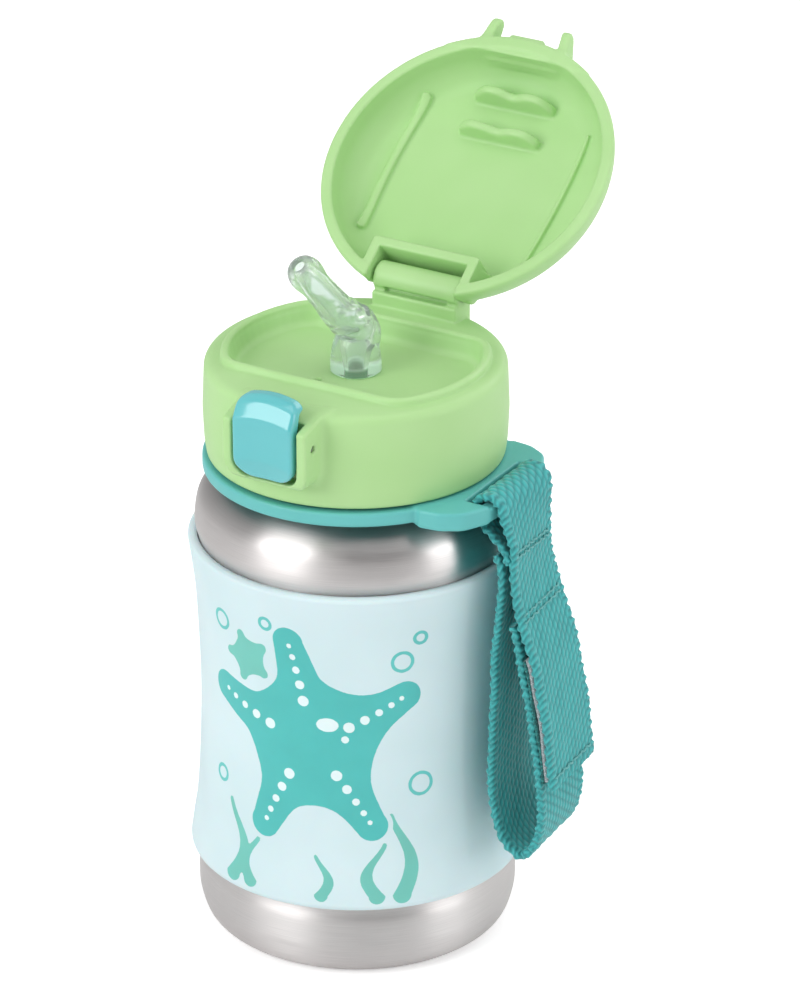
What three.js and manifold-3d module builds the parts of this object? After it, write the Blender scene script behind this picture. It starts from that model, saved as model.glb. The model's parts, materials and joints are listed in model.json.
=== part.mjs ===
// Children's insulated straw bottle with a flip cover, a push latch and a webbing carry strap.
// Millimetres. Origin: centre of the base on the table. +Z up, -Y the latch button, +Y the cover hinge,
// +X the strap. The cover stands open on its stop and the latch is at rest.
import * as THREE from "three";
import { mergeVertices } from "three/addons/utils/BufferGeometryUtils.js";
import Module from "manifold-3d";

const wasm = await Module();
wasm.setup();

// ---- driving dimensions ----------------------------------------------------------------------
const GAP = 0.35; // running clearance between separate pieces
const FINE = 40; // sides of a large visible round
const PLAIN = 28; // sides of a hidden round
const SMALL = 16; // sides of a small round

const STEEL_WALL = 0.8;
const BODY_R = 36; // steel body at the base band and at the shoulder
const WAIST_R = 33; // steel body under the middle of the sleeve
const BASE_CAP_R = 29;
const SLEEVE_BOTTOM = 18.5;
const SLEEVE_TOP = 95.5;
const NECK_R = 27;
const NECK_TOP = 129;
const LINER_R = 31;
const LINER_NECK_R = 25.85;
const LINER_WALL = 0.7;

const THREAD_PITCH = 4;
const THREAD_TURNS = 1.5;
const THREAD_BEAD_R = 0.9;
const THREAD_STEPS = 20; // straight steps in a turn of thread
const NECK_THREAD_START = 118.5;
const NECK_THREAD_R = NECK_R + 0.35; // centre of the neck's thread bead

const LID_BOTTOM = 115.3;
const LID_SKIRT_R = 28.5; // inside of the threaded skirt
const LID_CEILING = 131.7; // underside of the lid's top plate
const LID_TOP = 138;
const RECESS_FLOOR = 133.9;
const RECESS_R = 28.9; // end arcs of the recess
const RECESS_FRONT = -19.6;
const RECESS_BACK = 18.9;
const RECESS_CORNER = 7;
const BEAD_WIDTH = 1.7;
const BEAD_TOP = 138.9;
const VENT = [-4.6, -8.6]; // centre of the small hole in the recess floor

const HINGE_Y = 29;
const HINGE_Z = 143.5;
const HINGE_PIN_R = 0.8;
const BARREL_R = 3.6;
const BARREL_HALF = 10.7;
const COVER_OPEN = 142.5; // degrees the cover stands back from closed
const COVER_RIM_Z = 137.95; // rim face when closed
const COVER_R = 34.4;
const COVER_CEILING = 147.6;
const COVER_WALL = 2;
const NOTCH_HALF = 11.15; // opening of the cover round the barrel
const EYE_R = 2.3; // the cover's eyes round the hinge pin

const SPOUT_PIVOT = new THREE.Vector3(0, 0, 143.2);
const SPOUT_REST = new THREE.Vector3(-4.5, -14, 18).normalize(); // direction of the free spout
const SPOUT_LENGTH = 23.2; // pivot to the middle of the ball tip
const SPOUT_R = 3.25;
const SPOUT_BORE_R = 1.3;

const BUTTON_PIN_Y = -35.8;
const BUTTON_PIN_Z = 131;
const BUTTON_PIN_R = 0.7;
const BUTTON_HALF = 7.7;
const EAR_INNER = 8.2;
const EAR_OUTER = 10.5;
const POCKET_Y = -32.5; // flat wall behind the button
const HOUSING_BOTTOM = 120.6;

const RING_BOTTOM = 111.3;
const RING_TOP = 114.6;
const LUG_BOTTOM = 110.6;
const LUG_TOP = 114.9;
const BAR_X = 39.6;
const BAR_Z = (LUG_BOTTOM + LUG_TOP) / 2;
const BAR_HALF = 1.7;
const SLOT_HALF = 11.8; // half length of the strap slot, along Y
const SLOT_INNER_X = 34.6;

const WEB_T = 1.5;
const WEB_HALF = 11; // half width of the webbing
const TAPE_T = 0.45;
const TAPE_HALF = 9;
const TAPE_OFFSET = WEB_T / 2 + 0.2 + TAPE_T / 2;
const BAR_LOOP_R = 3.4; // centre line of the webbing round the bar

// ---- materials -------------------------------------------------------------------------------
const material = (color, roughness, metalness = 0) =>
  new THREE.MeshStandardMaterial({ color, roughness, metalness });
const brushedSteel = material("#b9b7b6", 0.36, 1);
const springSteel = material("#9a9c9e", 0.3, 1);
const leafPlastic = material("#abe391", 0.45);
const aquaSilicone = material("#d6ecee", 0.7);
const clearSilicone = material("#c9ebe4", 0.25);
const buttonPlastic = material("#6dcdd0", 0.2);
const tealPlastic = material("#49b8b4", 0.5);
const tealWebbing = material("#2ba9a1", 0.85);
const greyTape = material("#a9b4b4", 0.9);

// ---- helpers ---------------------------------------------------------------------------------
// A geometry as a solid: shared vertices merged, and slivers with no area dropped.
function solid(geometry) {
  const bare = geometry.clone();
  bare.deleteAttribute("normal");
  bare.deleteAttribute("uv");
  const merged = mergeVertices(bare, 1e-4);
  const index = merged.index.array;
  const kept = [];
  for (let i = 0; i < index.length; i += 3) {
    const [a, b, c] = [index[i], index[i + 1], index[i + 2]];
    if (a !== b && b !== c && a !== c) kept.push(a, b, c);
  }
  const mesh = new wasm.Mesh({
    numProp: 3,
    vertProperties: new Float32Array(merged.attributes.position.array),
    triVerts: new Uint32Array(kept),
  });
  return new wasm.Manifold(mesh);
}

function union(...solids) {
  return solids.reduce((joined, next) => joined.add(next));
}

// A solid as a named mesh.
function piece(name, shape, look) {
  const { numProp, vertProperties, triVerts } = shape.getMesh();
  const positions = new Float32Array((vertProperties.length / numProp) * 3);
  for (let i = 0; i < positions.length; i++) {
    positions[i] = vertProperties[Math.floor(i / 3) * numProp + (i % 3)];
  }
  const geometry = new THREE.BufferGeometry();
  geometry.setAttribute("position", new THREE.BufferAttribute(positions, 3));
  geometry.setIndex(new THREE.BufferAttribute(triVerts, 1));
  geometry.computeVertexNormals();
  const mesh = new THREE.Mesh(geometry, look);
  mesh.name = name;
  return mesh;
}

// A closed profile of [radius, height] points turned about +Z.
function turned(profile, sides) {
  const points = profile.map(([r, z]) => new THREE.Vector2(r, z));
  if (THREE.ShapeUtils.area(points) < 0) points.reverse();
  points.push(points[0].clone());
  return solid(new THREE.LatheGeometry(points, sides).rotateX(Math.PI / 2));
}

// A profile line thickened inwards (to its left, going up) into a closed profile.
function thickened(line, thickness) {
  const inner = line.map(([r, z], i) => {
    const [r0, z0] = line[Math.max(i - 1, 0)];
    const [r1, z1] = line[Math.min(i + 1, line.length - 1)];
    const length = Math.hypot(r1 - r0, z1 - z0);
    return [r - ((z1 - z0) / length) * thickness, z + ((r1 - r0) / length) * thickness];
  });
  return [...line, ...inner.reverse()];
}

function box([x0, x1], [y0, y1], [z0, z1]) {
  const geometry = new THREE.BoxGeometry(x1 - x0, y1 - y0, z1 - z0);
  return solid(geometry.translate((x0 + x1) / 2, (y0 + y1) / 2, (z0 + z1) / 2));
}

// A round bar along X through (y, z).
function barX(radius, [x0, x1], y, z, sides = SMALL) {
  const geometry = new THREE.CylinderGeometry(radius, radius, x1 - x0, sides).rotateZ(Math.PI / 2);
  return solid(geometry.translate((x0 + x1) / 2, y, z));
}

// A round post along Z.
function postZ(radius, [z0, z1], x, y, sides = SMALL) {
  const geometry = new THREE.CylinderGeometry(radius, radius, z1 - z0, sides).rotateX(Math.PI / 2);
  return solid(geometry.translate(x, y, (z0 + z1) / 2));
}

function shapeOf(outline) {
  return new THREE.Shape(outline.map(([a, b]) => new THREE.Vector2(a, b)));
}

function extruded(shape, depth, basis, offset) {
  const geometry = new THREE.ExtrudeGeometry(shape, { depth, bevelEnabled: false, curveSegments: 10 });
  return solid(geometry.applyMatrix4(basis).translate(...offset));
}

const X = new THREE.Vector3(1, 0, 0);
const Y = new THREE.Vector3(0, 1, 0);
const Z = new THREE.Vector3(0, 0, 1);

// A (y, z) outline carried along X.
function alongX(outline, [x0, x1]) {
  return extruded(shapeOf(outline), x1 - x0, new THREE.Matrix4().makeBasis(Y, Z, X), [x0, 0, 0]);
}

// An (x, z) outline carried along Y.
function alongY(outline, [y0, y1]) {
  const basis = new THREE.Matrix4().makeBasis(X, Z, Y.clone().negate());
  return extruded(shapeOf(outline), y1 - y0, basis, [0, y1, 0]);
}

// An (x, y) outline carried along Z.
function alongZ(shape, [z0, z1]) {
  return extruded(shape, z1 - z0, new THREE.Matrix4(), [0, 0, z0]);
}

class Helix extends THREE.Curve {
  constructor(radius, pitch, turns) {
    super();
    Object.assign(this, { radius, pitch, turns });
  }
  getPoint(t, target = new THREE.Vector3()) {
    const angle = t * this.turns * 2 * Math.PI;
    const { radius, pitch, turns } = this;
    return target.set(radius * Math.cos(angle), radius * Math.sin(angle), t * turns * pitch);
  }
}

// A round wire or bead along a helix about +Z, starting at height zero.
function coil(radius, pitch, turns, beadRadius, stepsPerTurn, sides = 5) {
  const section = new THREE.Shape();
  for (let i = 0; i < sides; i++) {
    const angle = (i / sides) * 2 * Math.PI;
    const point = [beadRadius * Math.cos(angle), beadRadius * Math.sin(angle)];
    if (i === 0) section.moveTo(...point);
    else section.lineTo(...point);
  }
  const steps = Math.round(turns * stepsPerTurn);
  const extrudePath = new Helix(radius, pitch, turns);
  return new THREE.ExtrudeGeometry(section, { steps, extrudePath, bevelEnabled: false });
}

// A strip of even thickness along a smooth (x, z) line, as an outline.
function stripOutline(points, thickness, samples, offset = 0) {
  const curve = new THREE.SplineCurve(points.map(([x, z]) => new THREE.Vector2(x, z)));
  const left = [];
  const right = [];
  for (let i = 0; i <= samples; i++) {
    const p = curve.getPointAt(i / samples);
    const t = curve.getTangentAt(i / samples);
    const at = (d) => [p.x - t.y * d, p.y + t.x * d];
    left.push(at(offset + thickness / 2));
    right.push(at(offset - thickness / 2));
  }
  return [...right, ...left.reverse()];
}

// ---- bottle ----------------------------------------------------------------------------------
const bodyLine = [
  [BASE_CAP_R + GAP, 0],
  [31.8, 0.6],
  [34.6, 3],
  [BODY_R, 7.6],
  [BODY_R, 14.5],
  [35.2, SLEEVE_BOTTOM],
  [33.7, 34],
  [WAIST_R, 57],
  [33.7, 80],
  [35.2, 94.5],
  [BODY_R, 98.5],
  [BODY_R, 101],
  [35, 104.6],
  [32.2, 108],
  [28.6, 110.2],
  [NECK_R, 112.4],
  [NECK_R, NECK_TOP],
];

function outerShell() {
  const wall = turned(thickened(bodyLine, STEEL_WALL), FINE);
  const bead = coil(NECK_THREAD_R, THREAD_PITCH, THREAD_TURNS, THREAD_BEAD_R, THREAD_STEPS);
  return wall.add(solid(bead.translate(0, 0, NECK_THREAD_START)));
}

function innerLiner() {
  const lipTop = NECK_TOP + GAP + LINER_WALL;
  const inside = LINER_NECK_R - LINER_WALL;
  return turned(
    [
      [0, 4],
      [26, 4],
      [29.6, 5.6],
      [LINER_R, 9.5],
      [LINER_R, 98],
      [29.8, 103],
      [27.2, 107],
      [LINER_NECK_R, 111],
      [LINER_NECK_R, NECK_TOP + GAP],
      [NECK_R, NECK_TOP + GAP],
      [NECK_R, lipTop],
      [inside, lipTop],
      [inside, 110.8],
      [26.6, 106.6],
      [29.2, 102.6],
      [LINER_R - LINER_WALL, 97.8],
      [LINER_R - LINER_WALL, 9.7],
      [29.2, 6.2],
      [25.8, 4.7],
      [0, 4.7],
    ],
    PLAIN,
  );
}

function gripSleeve() {
  const [bottom, top] = [SLEEVE_BOTTOM, SLEEVE_TOP];
  const inner = bodyLine.filter(([, z]) => z > bottom && z < top).map(([r, z]) => [r + GAP, z]);
  return turned(
    [
      [35.6, bottom],
      [37.4, bottom],
      [37.7, 20],
      [35.9, 34],
      [35.1, 57],
      [35.9, 80],
      [37.6, 94],
      [37.4, top],
      [35.75, top],
      ...inner.reverse(),
    ],
    FINE,
  );
}

// ---- lid -------------------------------------------------------------------------------------
// The recess outline: a disc cut by two chords, its corners rounded. grow widens it.
function recessShape(grow = 0) {
  const shape = new THREE.Shape();
  const R = RECESS_R + grow;
  const corner = RECESS_CORNER + grow;
  const corners = [RECESS_FRONT - grow, RECESS_BACK + grow].map((chord) => {
    const y = chord - Math.sign(chord) * corner;
    return { x: Math.sqrt((R - corner) ** 2 - y ** 2), y };
  });
  const [front, back] = corners;
  const turn = (c) => Math.atan2(c.y, c.x);
  shape.absarc(front.x, front.y, corner, -Math.PI / 2, turn(front));
  shape.absarc(0, 0, R, turn(front), turn(back));
  shape.absarc(back.x, back.y, corner, turn(back), Math.PI / 2);
  shape.absarc(-back.x, back.y, corner, Math.PI / 2, Math.PI - turn(back));
  shape.absarc(0, 0, R, Math.PI - turn(back), Math.PI - turn(front));
  shape.absarc(-front.x, front.y, corner, Math.PI - turn(front), 1.5 * Math.PI);
  return shape;
}

// The two ears that carry the button's pin, and the tray under the button that joins them.
function buttonHousing() {
  const ear = [
    [-30.5, HOUSING_BOTTOM],
    [-37.4, HOUSING_BOTTOM],
    [-39, HOUSING_BOTTOM + 0.8],
    [-39.6, HOUSING_BOTTOM + 2.4],
    [-39.6, 135.4],
    [-37.6, 136.4],
    [-30.5, 136.9],
  ];
  const tray = [
    [-30.5, HOUSING_BOTTOM],
    [-37.4, HOUSING_BOTTOM],
    [-39, HOUSING_BOTTOM + 0.8],
    [-39.2, HOUSING_BOTTOM + 1.8],
    [-30.5, HOUSING_BOTTOM + 1.8],
  ];
  return union(
    alongX(ear, [-EAR_OUTER, -EAR_INNER]),
    alongX(ear, [EAR_INNER, EAR_OUTER]),
    alongX(tray, [-EAR_OUTER, EAR_OUTER]),
  );
}

// The block at the back of the lid and the barrel that stands on it. Under the barrel's front a pocket
// leaves two feet.
function hingeKnuckle() {
  const across = [-BARREL_HALF, BARREL_HALF];
  const blockTop = 141;
  const block = box(across, [25.2, 32.2], [LID_TOP - 2, blockTop]);
  const web = box(across, [26.4, 31.4], [blockTop - 1, HINGE_Z]);
  const barrel = barX(BARREL_R, across, HINGE_Y, HINGE_Z, 24);
  const front = box(across, [20, 26.4], [blockTop, HINGE_Z - 0.9]);
  const pocket = box([-7.9, 7.9], [20, 27], [blockTop, HINGE_Z - 0.9]);
  const springRoom = barX(1.75, [-4.5, 4.5], HINGE_Y, HINGE_Z);
  const bore = barX(HINGE_PIN_R + GAP, [-15, 15], HINGE_Y, HINGE_Z);
  return union(web, barrel).subtract(front).subtract(pocket).add(block).subtract(springRoom).subtract(bore);
}

function lidBase() {
  const cap = turned(
    [
      [0, LID_CEILING],
      [LID_SKIRT_R, LID_CEILING],
      [LID_SKIRT_R, 117],
      [30.2, 117],
      [30.2, 130.6],
      [31.5, 130.6],
      [31.5, LID_BOTTOM],
      [33.2, LID_BOTTOM],
      [33.7, 118.5],
      [33.9, 125],
      [33.7, 132],
      [33.35, 135.6],
      [32.6, 136.8],
      [31.2, 137.3],
      [24, 137.8],
      [0, LID_TOP],
    ],
    FINE,
  );
  const bead = coil(LID_SKIRT_R, THREAD_PITCH, THREAD_TURNS, THREAD_BEAD_R, THREAD_STEPS);
  const thread = solid(bead.translate(0, 0, NECK_THREAD_START + THREAD_PITCH / 2));
  const rim = alongZ(recessShape(BEAD_WIDTH / 2), [LID_TOP - 2, BEAD_TOP]);
  const recess = alongZ(recessShape(-BEAD_WIDTH / 2), [RECESS_FLOOR, BEAD_TOP + 1]);
  const pocket = box([-EAR_INNER, EAR_INNER], [-42, POCKET_Y], [HOUSING_BOTTOM + 1.8, 144]);
  const pinHole = barX(BUTTON_PIN_R + GAP, [-20, 20], BUTTON_PIN_Y, BUTTON_PIN_Z);
  const spoutHole = postZ(4.8, [125, 140], 0, 0, 24);
  const ventHole = postZ(1.05, [125, 140], ...VENT, 12);
  return union(cap, thread, rim, buttonHousing())
    .subtract(recess)
    .subtract(pocket)
    .add(hingeKnuckle())
    .subtract(pinHole)
    .subtract(spoutHole)
    .subtract(ventHole);
}

function ventValve() {
  const valve = turned(
    [
      [0, 127],
      [0.7, 127],
      [1.7, 129.6],
      [2.4, 130],
      [2.4, LID_CEILING - GAP],
      [0.7, LID_CEILING - GAP],
      [0.7, RECESS_FLOOR - 0.5],
      [0, RECESS_FLOOR - 0.5],
    ],
    12,
  );
  return valve.translate([...VENT, 0]);
}

// The fixed foot of the silicone spout: a spigot for the straw, a flange each side of the lid's plate,
// and the upright part up to the fold.
function spoutRoot() {
  const top = SPOUT_PIVOT.z - 3;
  return turned(
    [
      [3.65, 121],
      [5, 121],
      [5, 130.2],
      [7, 130.6],
      [7, LID_CEILING - GAP],
      [4.4, LID_CEILING - GAP],
      [4.4, RECESS_FLOOR + GAP],
      [5.5, RECESS_FLOOR + GAP],
      [5.6, 136],
      [5.1, 138.5],
      [4.3, top],
      [2, top],
      [2, 130],
      [3.65, 129.6],
    ],
    SMALL,
  );
}

// The free part of the spout, along +Z from its pivot: a round heel, the tube and the ball tip.
function spoutTip() {
  const end = SPOUT_LENGTH + 3;
  return turned(
    [
      [SPOUT_BORE_R, -2.2],
      [2, -1.8],
      [2.7, 0],
      [2.7, 2.5],
      [3.2, 5.6],
      [SPOUT_R, 10],
      [2.9, 18],
      [2.75, 20.6],
      [3.3, 22.6],
      [3.6, 24.8],
      [3.2, 26.6],
      [2.3, end],
      [SPOUT_BORE_R, end],
    ],
    SMALL,
  );
}

function strawTube() {
  return turned(
    [
      [2.5, 13],
      [3.3, 13],
      [3.3, 129.2],
      [2.5, 129.2],
    ],
    16,
  );
}

function lidGasket() {
  return turned(
    [
      [24.4, 130.4],
      [28.1, 130.4],
      [28.1, LID_CEILING - GAP],
      [24.4, LID_CEILING - GAP],
    ],
    PLAIN,
  );
}

// A torsion spring round a pin along X: its coil is made about +Z and laid over.
function torsionSpring(radius, turns, wire, y, z) {
  const pitch = wire * 2.6;
  const wound = coil(radius, pitch, turns, wire, 10, 4);
  return solid(wound.translate(0, 0, (-pitch * turns) / 2).rotateY(Math.PI / 2).translate(0, y, z));
}

// ---- latch button ----------------------------------------------------------------------------
function latchButton() {
  const face = [
    [-38.4, 123.1],
    [-39.2, 122.9],
    [-40.2, 126.5],
    [-40.3, 133.6],
    [-38.4, 140.2],
    [-37, 141.8],
    [-34.4, 141.8],
    [-34.4, 140.5],
    [-36.6, 140.3],
    [-38.2, 136],
  ];
  const hubSpan = [3.4, BUTTON_HALF];
  const mirrored = ([a, b]) => [-b, -a];
  const hub = (span) =>
    union(
      barX(1.6, span, BUTTON_PIN_Y, BUTTON_PIN_Z),
      box(span, [-38.6, BUTTON_PIN_Y], [BUTTON_PIN_Z - 1.2, BUTTON_PIN_Z + 1.2]),
    );
  return union(alongX(face, [-BUTTON_HALF, BUTTON_HALF]), hub(hubSpan), hub(mirrored(hubSpan))).subtract(
    barX(BUTTON_PIN_R + GAP, [-20, 20], BUTTON_PIN_Y, BUTTON_PIN_Z),
  );
}

// ---- flip cover, drawn closed ------------------------------------------------------------------
// The dish's inner and outer outlines, from the rim face up to the axis.
const COVER_INSIDE = [
  [COVER_R - 2.7, COVER_RIM_Z],
  [31.2, COVER_RIM_Z + 2],
  [30, COVER_RIM_Z + 4.4],
  [28.3, COVER_RIM_Z + 6.8],
  [26.8, COVER_RIM_Z + 8.6],
  [23.5, COVER_CEILING - 0.3],
  [18, COVER_CEILING - 0.1],
  [0, COVER_CEILING],
];
const COVER_OUTSIDE = [
  [COVER_R - 0.3, COVER_RIM_Z],
  [COVER_R, COVER_RIM_Z + 0.4],
  [34.35, COVER_RIM_Z + 1.7],
  [33.7, COVER_RIM_Z + 3.9],
  [32.4, COVER_RIM_Z + 6.4],
  [30.4, COVER_RIM_Z + 8.7],
  [27.6, COVER_RIM_Z + 10.3],
  [23, COVER_CEILING + COVER_WALL - 0.35],
  [18, COVER_CEILING + COVER_WALL - 0.1],
  [0, COVER_CEILING + COVER_WALL],
];

function coverDish() {
  return turned([...COVER_INSIDE].reverse().concat(COVER_OUTSIDE), FINE);
}

// Ribs that press the folded spout shut: a wall across the cover with a hollow for the spout.
function pinchRib(y) {
  const rib = box([-10.6, 10.6], [y - 0.9, y + 0.9], [142.6, COVER_CEILING + 0.5]);
  const geometry = new THREE.CylinderGeometry(4.3, 4.3, 6, 24);
  return rib.subtract(solid(geometry.translate(0, y, SPOUT_PIVOT.z)));
}

// A long low rib that follows the dish's ceiling, from one (x, y) to another.
function sideRib([x0, y0], [x1, y1], width) {
  const length = Math.hypot(x1 - x0, y1 - y0);
  const geometry = new THREE.BoxGeometry(width, length, 11);
  geometry.rotateZ(Math.atan2(y1 - y0, x1 - x0) - Math.PI / 2);
  const lowered = COVER_INSIDE.map(([radius, z]) => [Math.max(radius - 0.6, 0), z - 1.1]);
  const ribbed = turned(lowered.reverse().concat(COVER_OUTSIDE), FINE);
  return solid(geometry.translate((x0 + x1) / 2, (y0 + y1) / 2, 143.8)).intersect(ribbed);
}

function flipCover() {
  const frameTop = box([-13.4, 13.4], [22, 24], [COVER_RIM_Z, 147.2]);
  const dome = turned([[0, COVER_RIM_Z], ...COVER_OUTSIDE], FINE);
  const arm = (x0, x1) =>
    union(
      box([x0, x1], [22.4, 30.8], [COVER_RIM_Z, 145.6]).intersect(dome),
      barX(EYE_R, [x0, x1], HINGE_Y, HINGE_Z),
    );
  const notch = box([-NOTCH_HALF, NOTCH_HALF], [24, 40], [130, 145.4]);
  const outlet = box([-NOTCH_HALF, NOTCH_HALF], [27.6, 40], [130, 155]);
  const relief = box([-12.7, 12.7], [31.4, 40], [130, COVER_RIM_Z + 0.65]); // swings past the lid's top
  const prongOutline = [
    [-29, COVER_RIM_Z],
    [-37.6, COVER_RIM_Z],
    [-38.5, COVER_RIM_Z + 0.9],
    [-38, 141],
    [-35.8, 142.8],
    [-29, 144.8],
  ];
  const catchOutline = [
    [-31, COVER_RIM_Z + 0.6],
    [-35.3, COVER_RIM_Z + 0.6],
    [-35.3, COVER_RIM_Z + 1.9],
    [-31, COVER_RIM_Z + 3.4],
  ];
  const inside = turned(
    [
      [0, COVER_RIM_Z - 1],
      [31.3, COVER_RIM_Z - 1],
      [31.3, COVER_RIM_Z],
      [30.8, COVER_RIM_Z + 2],
      [29.6, COVER_RIM_Z + 4.4],
      [27.9, COVER_RIM_Z + 6.8],
      [0, COVER_RIM_Z + 6.8],
    ],
    FINE,
  );
  const prongs = union(alongX(prongOutline, [-11.1, -8.7]), alongX(prongOutline, [8.7, 11.1]));
  const outside = union(prongs, alongX(catchOutline, [-4.7, 4.7])).subtract(inside);
  return union(
    coverDish(),
    outside,
    frameTop,
    arm(-13.4, -NOTCH_HALF),
    arm(NOTCH_HALF, 13.4),
    pinchRib(-13.3),
    pinchRib(-22.4),
    sideRib([-21.3, -18.5], [-22.3, 16.5], 1.9),
    sideRib([21.8, -17.5], [19, 18.5], 1),
  )
    .subtract(notch)
    .subtract(outlet)
    .subtract(relief)
    .subtract(barX(BARREL_R + GAP, [-NOTCH_HALF, NOTCH_HALF], HINGE_Y, HINGE_Z))
    .subtract(barX(HINGE_PIN_R + GAP, [-15, 15], HINGE_Y, HINGE_Z));
}

// ---- strap -----------------------------------------------------------------------------------
function strapRing() {
  const band = turned(
    [
      [29, RING_BOTTOM],
      [33.6, RING_BOTTOM],
      [34.2, RING_BOTTOM + 0.8],
      [34.2, RING_TOP - 0.4],
      [33.8, RING_TOP],
      [29, RING_TOP],
    ],
    FINE,
  );
  const halfLug = [
    [24, 19],
    [28.2, 20.9],
    [30.4, 20.9],
    [33, 20.4],
    [36.1, 18.8],
    [38.9, 15.4],
    [40.5, 11.8],
    [BAR_X + BAR_HALF, 9.4],
  ];
  const lugOutline = [...halfLug.map(([x, y]) => [x, -y]), ...halfLug.reverse()];
  const lug = alongZ(shapeOf(lugOutline), [LUG_BOTTOM, LUG_TOP]);
  const slot = box([SLOT_INNER_X, BAR_X - BAR_HALF], [-SLOT_HALF, SLOT_HALF], [100, 120]);
  const hollow = postZ(29, [100, 120], 0, 0, FINE);
  const [low, high] = [BAR_Z - BAR_HALF, BAR_Z + BAR_HALF];
  const above = box([BAR_X - 5, 50], [-SLOT_HALF, SLOT_HALF], [high, 120]);
  const below = box([BAR_X - 5, 50], [-SLOT_HALF, SLOT_HALF], [100, low]);
  return union(band, lug).subtract(hollow).subtract(slot).subtract(above).subtract(below);
}

const outerStrand = [
  [BAR_X + BAR_LOOP_R, BAR_Z],
  [43.5, 107.5],
  [44.3, 103.2],
  [44.6, 97.8],
  [45.6, 92],
  [47.1, 87.2],
];
const innerStrand = [
  [BAR_X - BAR_LOOP_R, BAR_Z],
  [37.3, 108.4],
  [40, 104.8],
  [42.2, 102.4],
  [43.3, 99.8],
];
const backAndMiddle = [
  [39.9, 101.4],
  [41.5, 98],
  [41.9, 94],
  [41.2, 87],
  [40.5, 78],
  [40.3, 69],
  [40, 59],
  [39.8, 50],
  [40.2, 41.5],
  [42.3, 34.6],
  [45, 31.2],
  [47.9, 30.1],
  [50.8, 33.4],
  [52.2, 39.5],
  [52.3, 46],
  [51.4, 54],
  [50, 62.5],
  [48.2, 72],
  [46.5, 80],
  [44.8, 86.6],
];
const middleStrand = [
  [51.9, 49.5],
  [51.4, 54],
  [50, 62.5],
  [48.2, 72],
  [46.8, 78.5],
];
const flapLine = [
  [47.7, 85.5],
  [50.9, 76],
  [53.2, 64.5],
  [54.5, 56],
  [55.3, 48.8],
];
const flapTapeLine = [
  [49.7, 79.6],
  [50.9, 76],
  [53.2, 64.5],
  [54.5, 56],
  [55.1, 50.6],
];

const across = [-WEB_HALF, WEB_HALF];

function barLoopWebbing() {
  const centre = new THREE.Shape().absarc(BAR_X, BAR_Z, BAR_LOOP_R + WEB_T / 2, 0, Math.PI);
  centre.absarc(BAR_X, BAR_Z, BAR_LOOP_R - WEB_T / 2, Math.PI, 0, true);
  const outline = centre.getPoints(10).map((p) => [p.x, p.y]);
  return union(
    alongY(outline, across),
    alongY(stripOutline(outerStrand, WEB_T, 10), across),
    alongY(stripOutline(innerStrand, WEB_T, 10), across),
  );
}

const handleLoopWebbing = () => alongY(stripOutline(backAndMiddle, WEB_T, 40), across);
const flapWebbing = () => alongY(stripOutline(flapLine, WEB_T, 8), across);
const tapeAcross = [-TAPE_HALF, TAPE_HALF];
const loopTape = () => alongY(stripOutline(middleStrand, TAPE_T, 6, -TAPE_OFFSET), tapeAcross);
const hookTape = () => alongY(stripOutline(flapTapeLine, TAPE_T, 6, -TAPE_OFFSET), tapeAcross);

// ---- assembly --------------------------------------------------------------------------------
const bottle = new THREE.Group();
bottle.add(
  piece("outer_shell", outerShell(), brushedSteel),
  piece("inner_liner", innerLiner(), brushedSteel),
  piece("base_cap", postZ(BASE_CAP_R, [0, 1.2], 0, 0, FINE), brushedSteel),
  piece("grip_sleeve", gripSleeve(), aquaSilicone),
);

const strawSet = new THREE.Group();
strawSet.add(
  piece("lid_gasket", lidGasket(), clearSilicone),
  piece("straw_tube", strawTube(), clearSilicone),
);

const hingePin = barX(HINGE_PIN_R, [-13.1, 13.1], HINGE_Y, HINGE_Z, 12);
const buttonPin = barX(BUTTON_PIN_R, [-EAR_OUTER + 0.3, EAR_OUTER - 0.3], BUTTON_PIN_Y, BUTTON_PIN_Z, 12);
const lid = new THREE.Group();
lid.add(
  piece("lid_base", lidBase(), leafPlastic),
  piece("spout_root", spoutRoot(), clearSilicone),
  piece("vent_valve", ventValve(), clearSilicone),
  piece("hinge_pin", hingePin, springSteel),
  piece("hinge_spring", torsionSpring(1.3, 8, 0.25, HINGE_Y, HINGE_Z), springSteel),
  piece("button_pin", buttonPin, springSteel),
  piece("button_spring", torsionSpring(1.35, 5, 0.25, BUTTON_PIN_Y, BUTTON_PIN_Z), springSteel),
  piece("latch_button", latchButton(), buttonPlastic),
);

const spout = new THREE.Group();
spout.position.copy(SPOUT_PIVOT);
spout.quaternion.setFromUnitVectors(Z, SPOUT_REST);
spout.add(piece("spout_tip", spoutTip(), clearSilicone));

// The cover's group turns about the hinge pin.
const cover = new THREE.Group();
cover.position.set(0, HINGE_Y, HINGE_Z);
cover.rotation.x = THREE.MathUtils.degToRad(-COVER_OPEN);
const flip = piece("flip_cover", flipCover(), leafPlastic);
flip.position.set(0, -HINGE_Y, -HINGE_Z);
cover.add(flip);

const strap = new THREE.Group();
strap.add(
  piece("strap_ring", strapRing(), tealPlastic),
  piece("bar_loop_webbing", barLoopWebbing(), tealWebbing),
  piece("handle_loop_webbing", handleLoopWebbing(), tealWebbing),
  piece("loop_tape", loopTape(), greyTape),
  piece("flap_webbing", flapWebbing(), tealWebbing),
  piece("hook_tape", hookTape(), greyTape),
);

const strawBottle = new THREE.Group();
strawBottle.add(bottle, strawSet, lid, spout, cover, strap);
export default strawBottle;
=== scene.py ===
"""The looks of a children's straw bottle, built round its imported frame.

Outlines and fields are in millimetres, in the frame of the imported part: +Z up, -Y the latch button,
+Y the cover's hinge, +X the strap. Meshes are scaled to metres as they are made.
"""

import json
import math

import bpy
import numpy as np
from mathutils import Matrix, Vector


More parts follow.
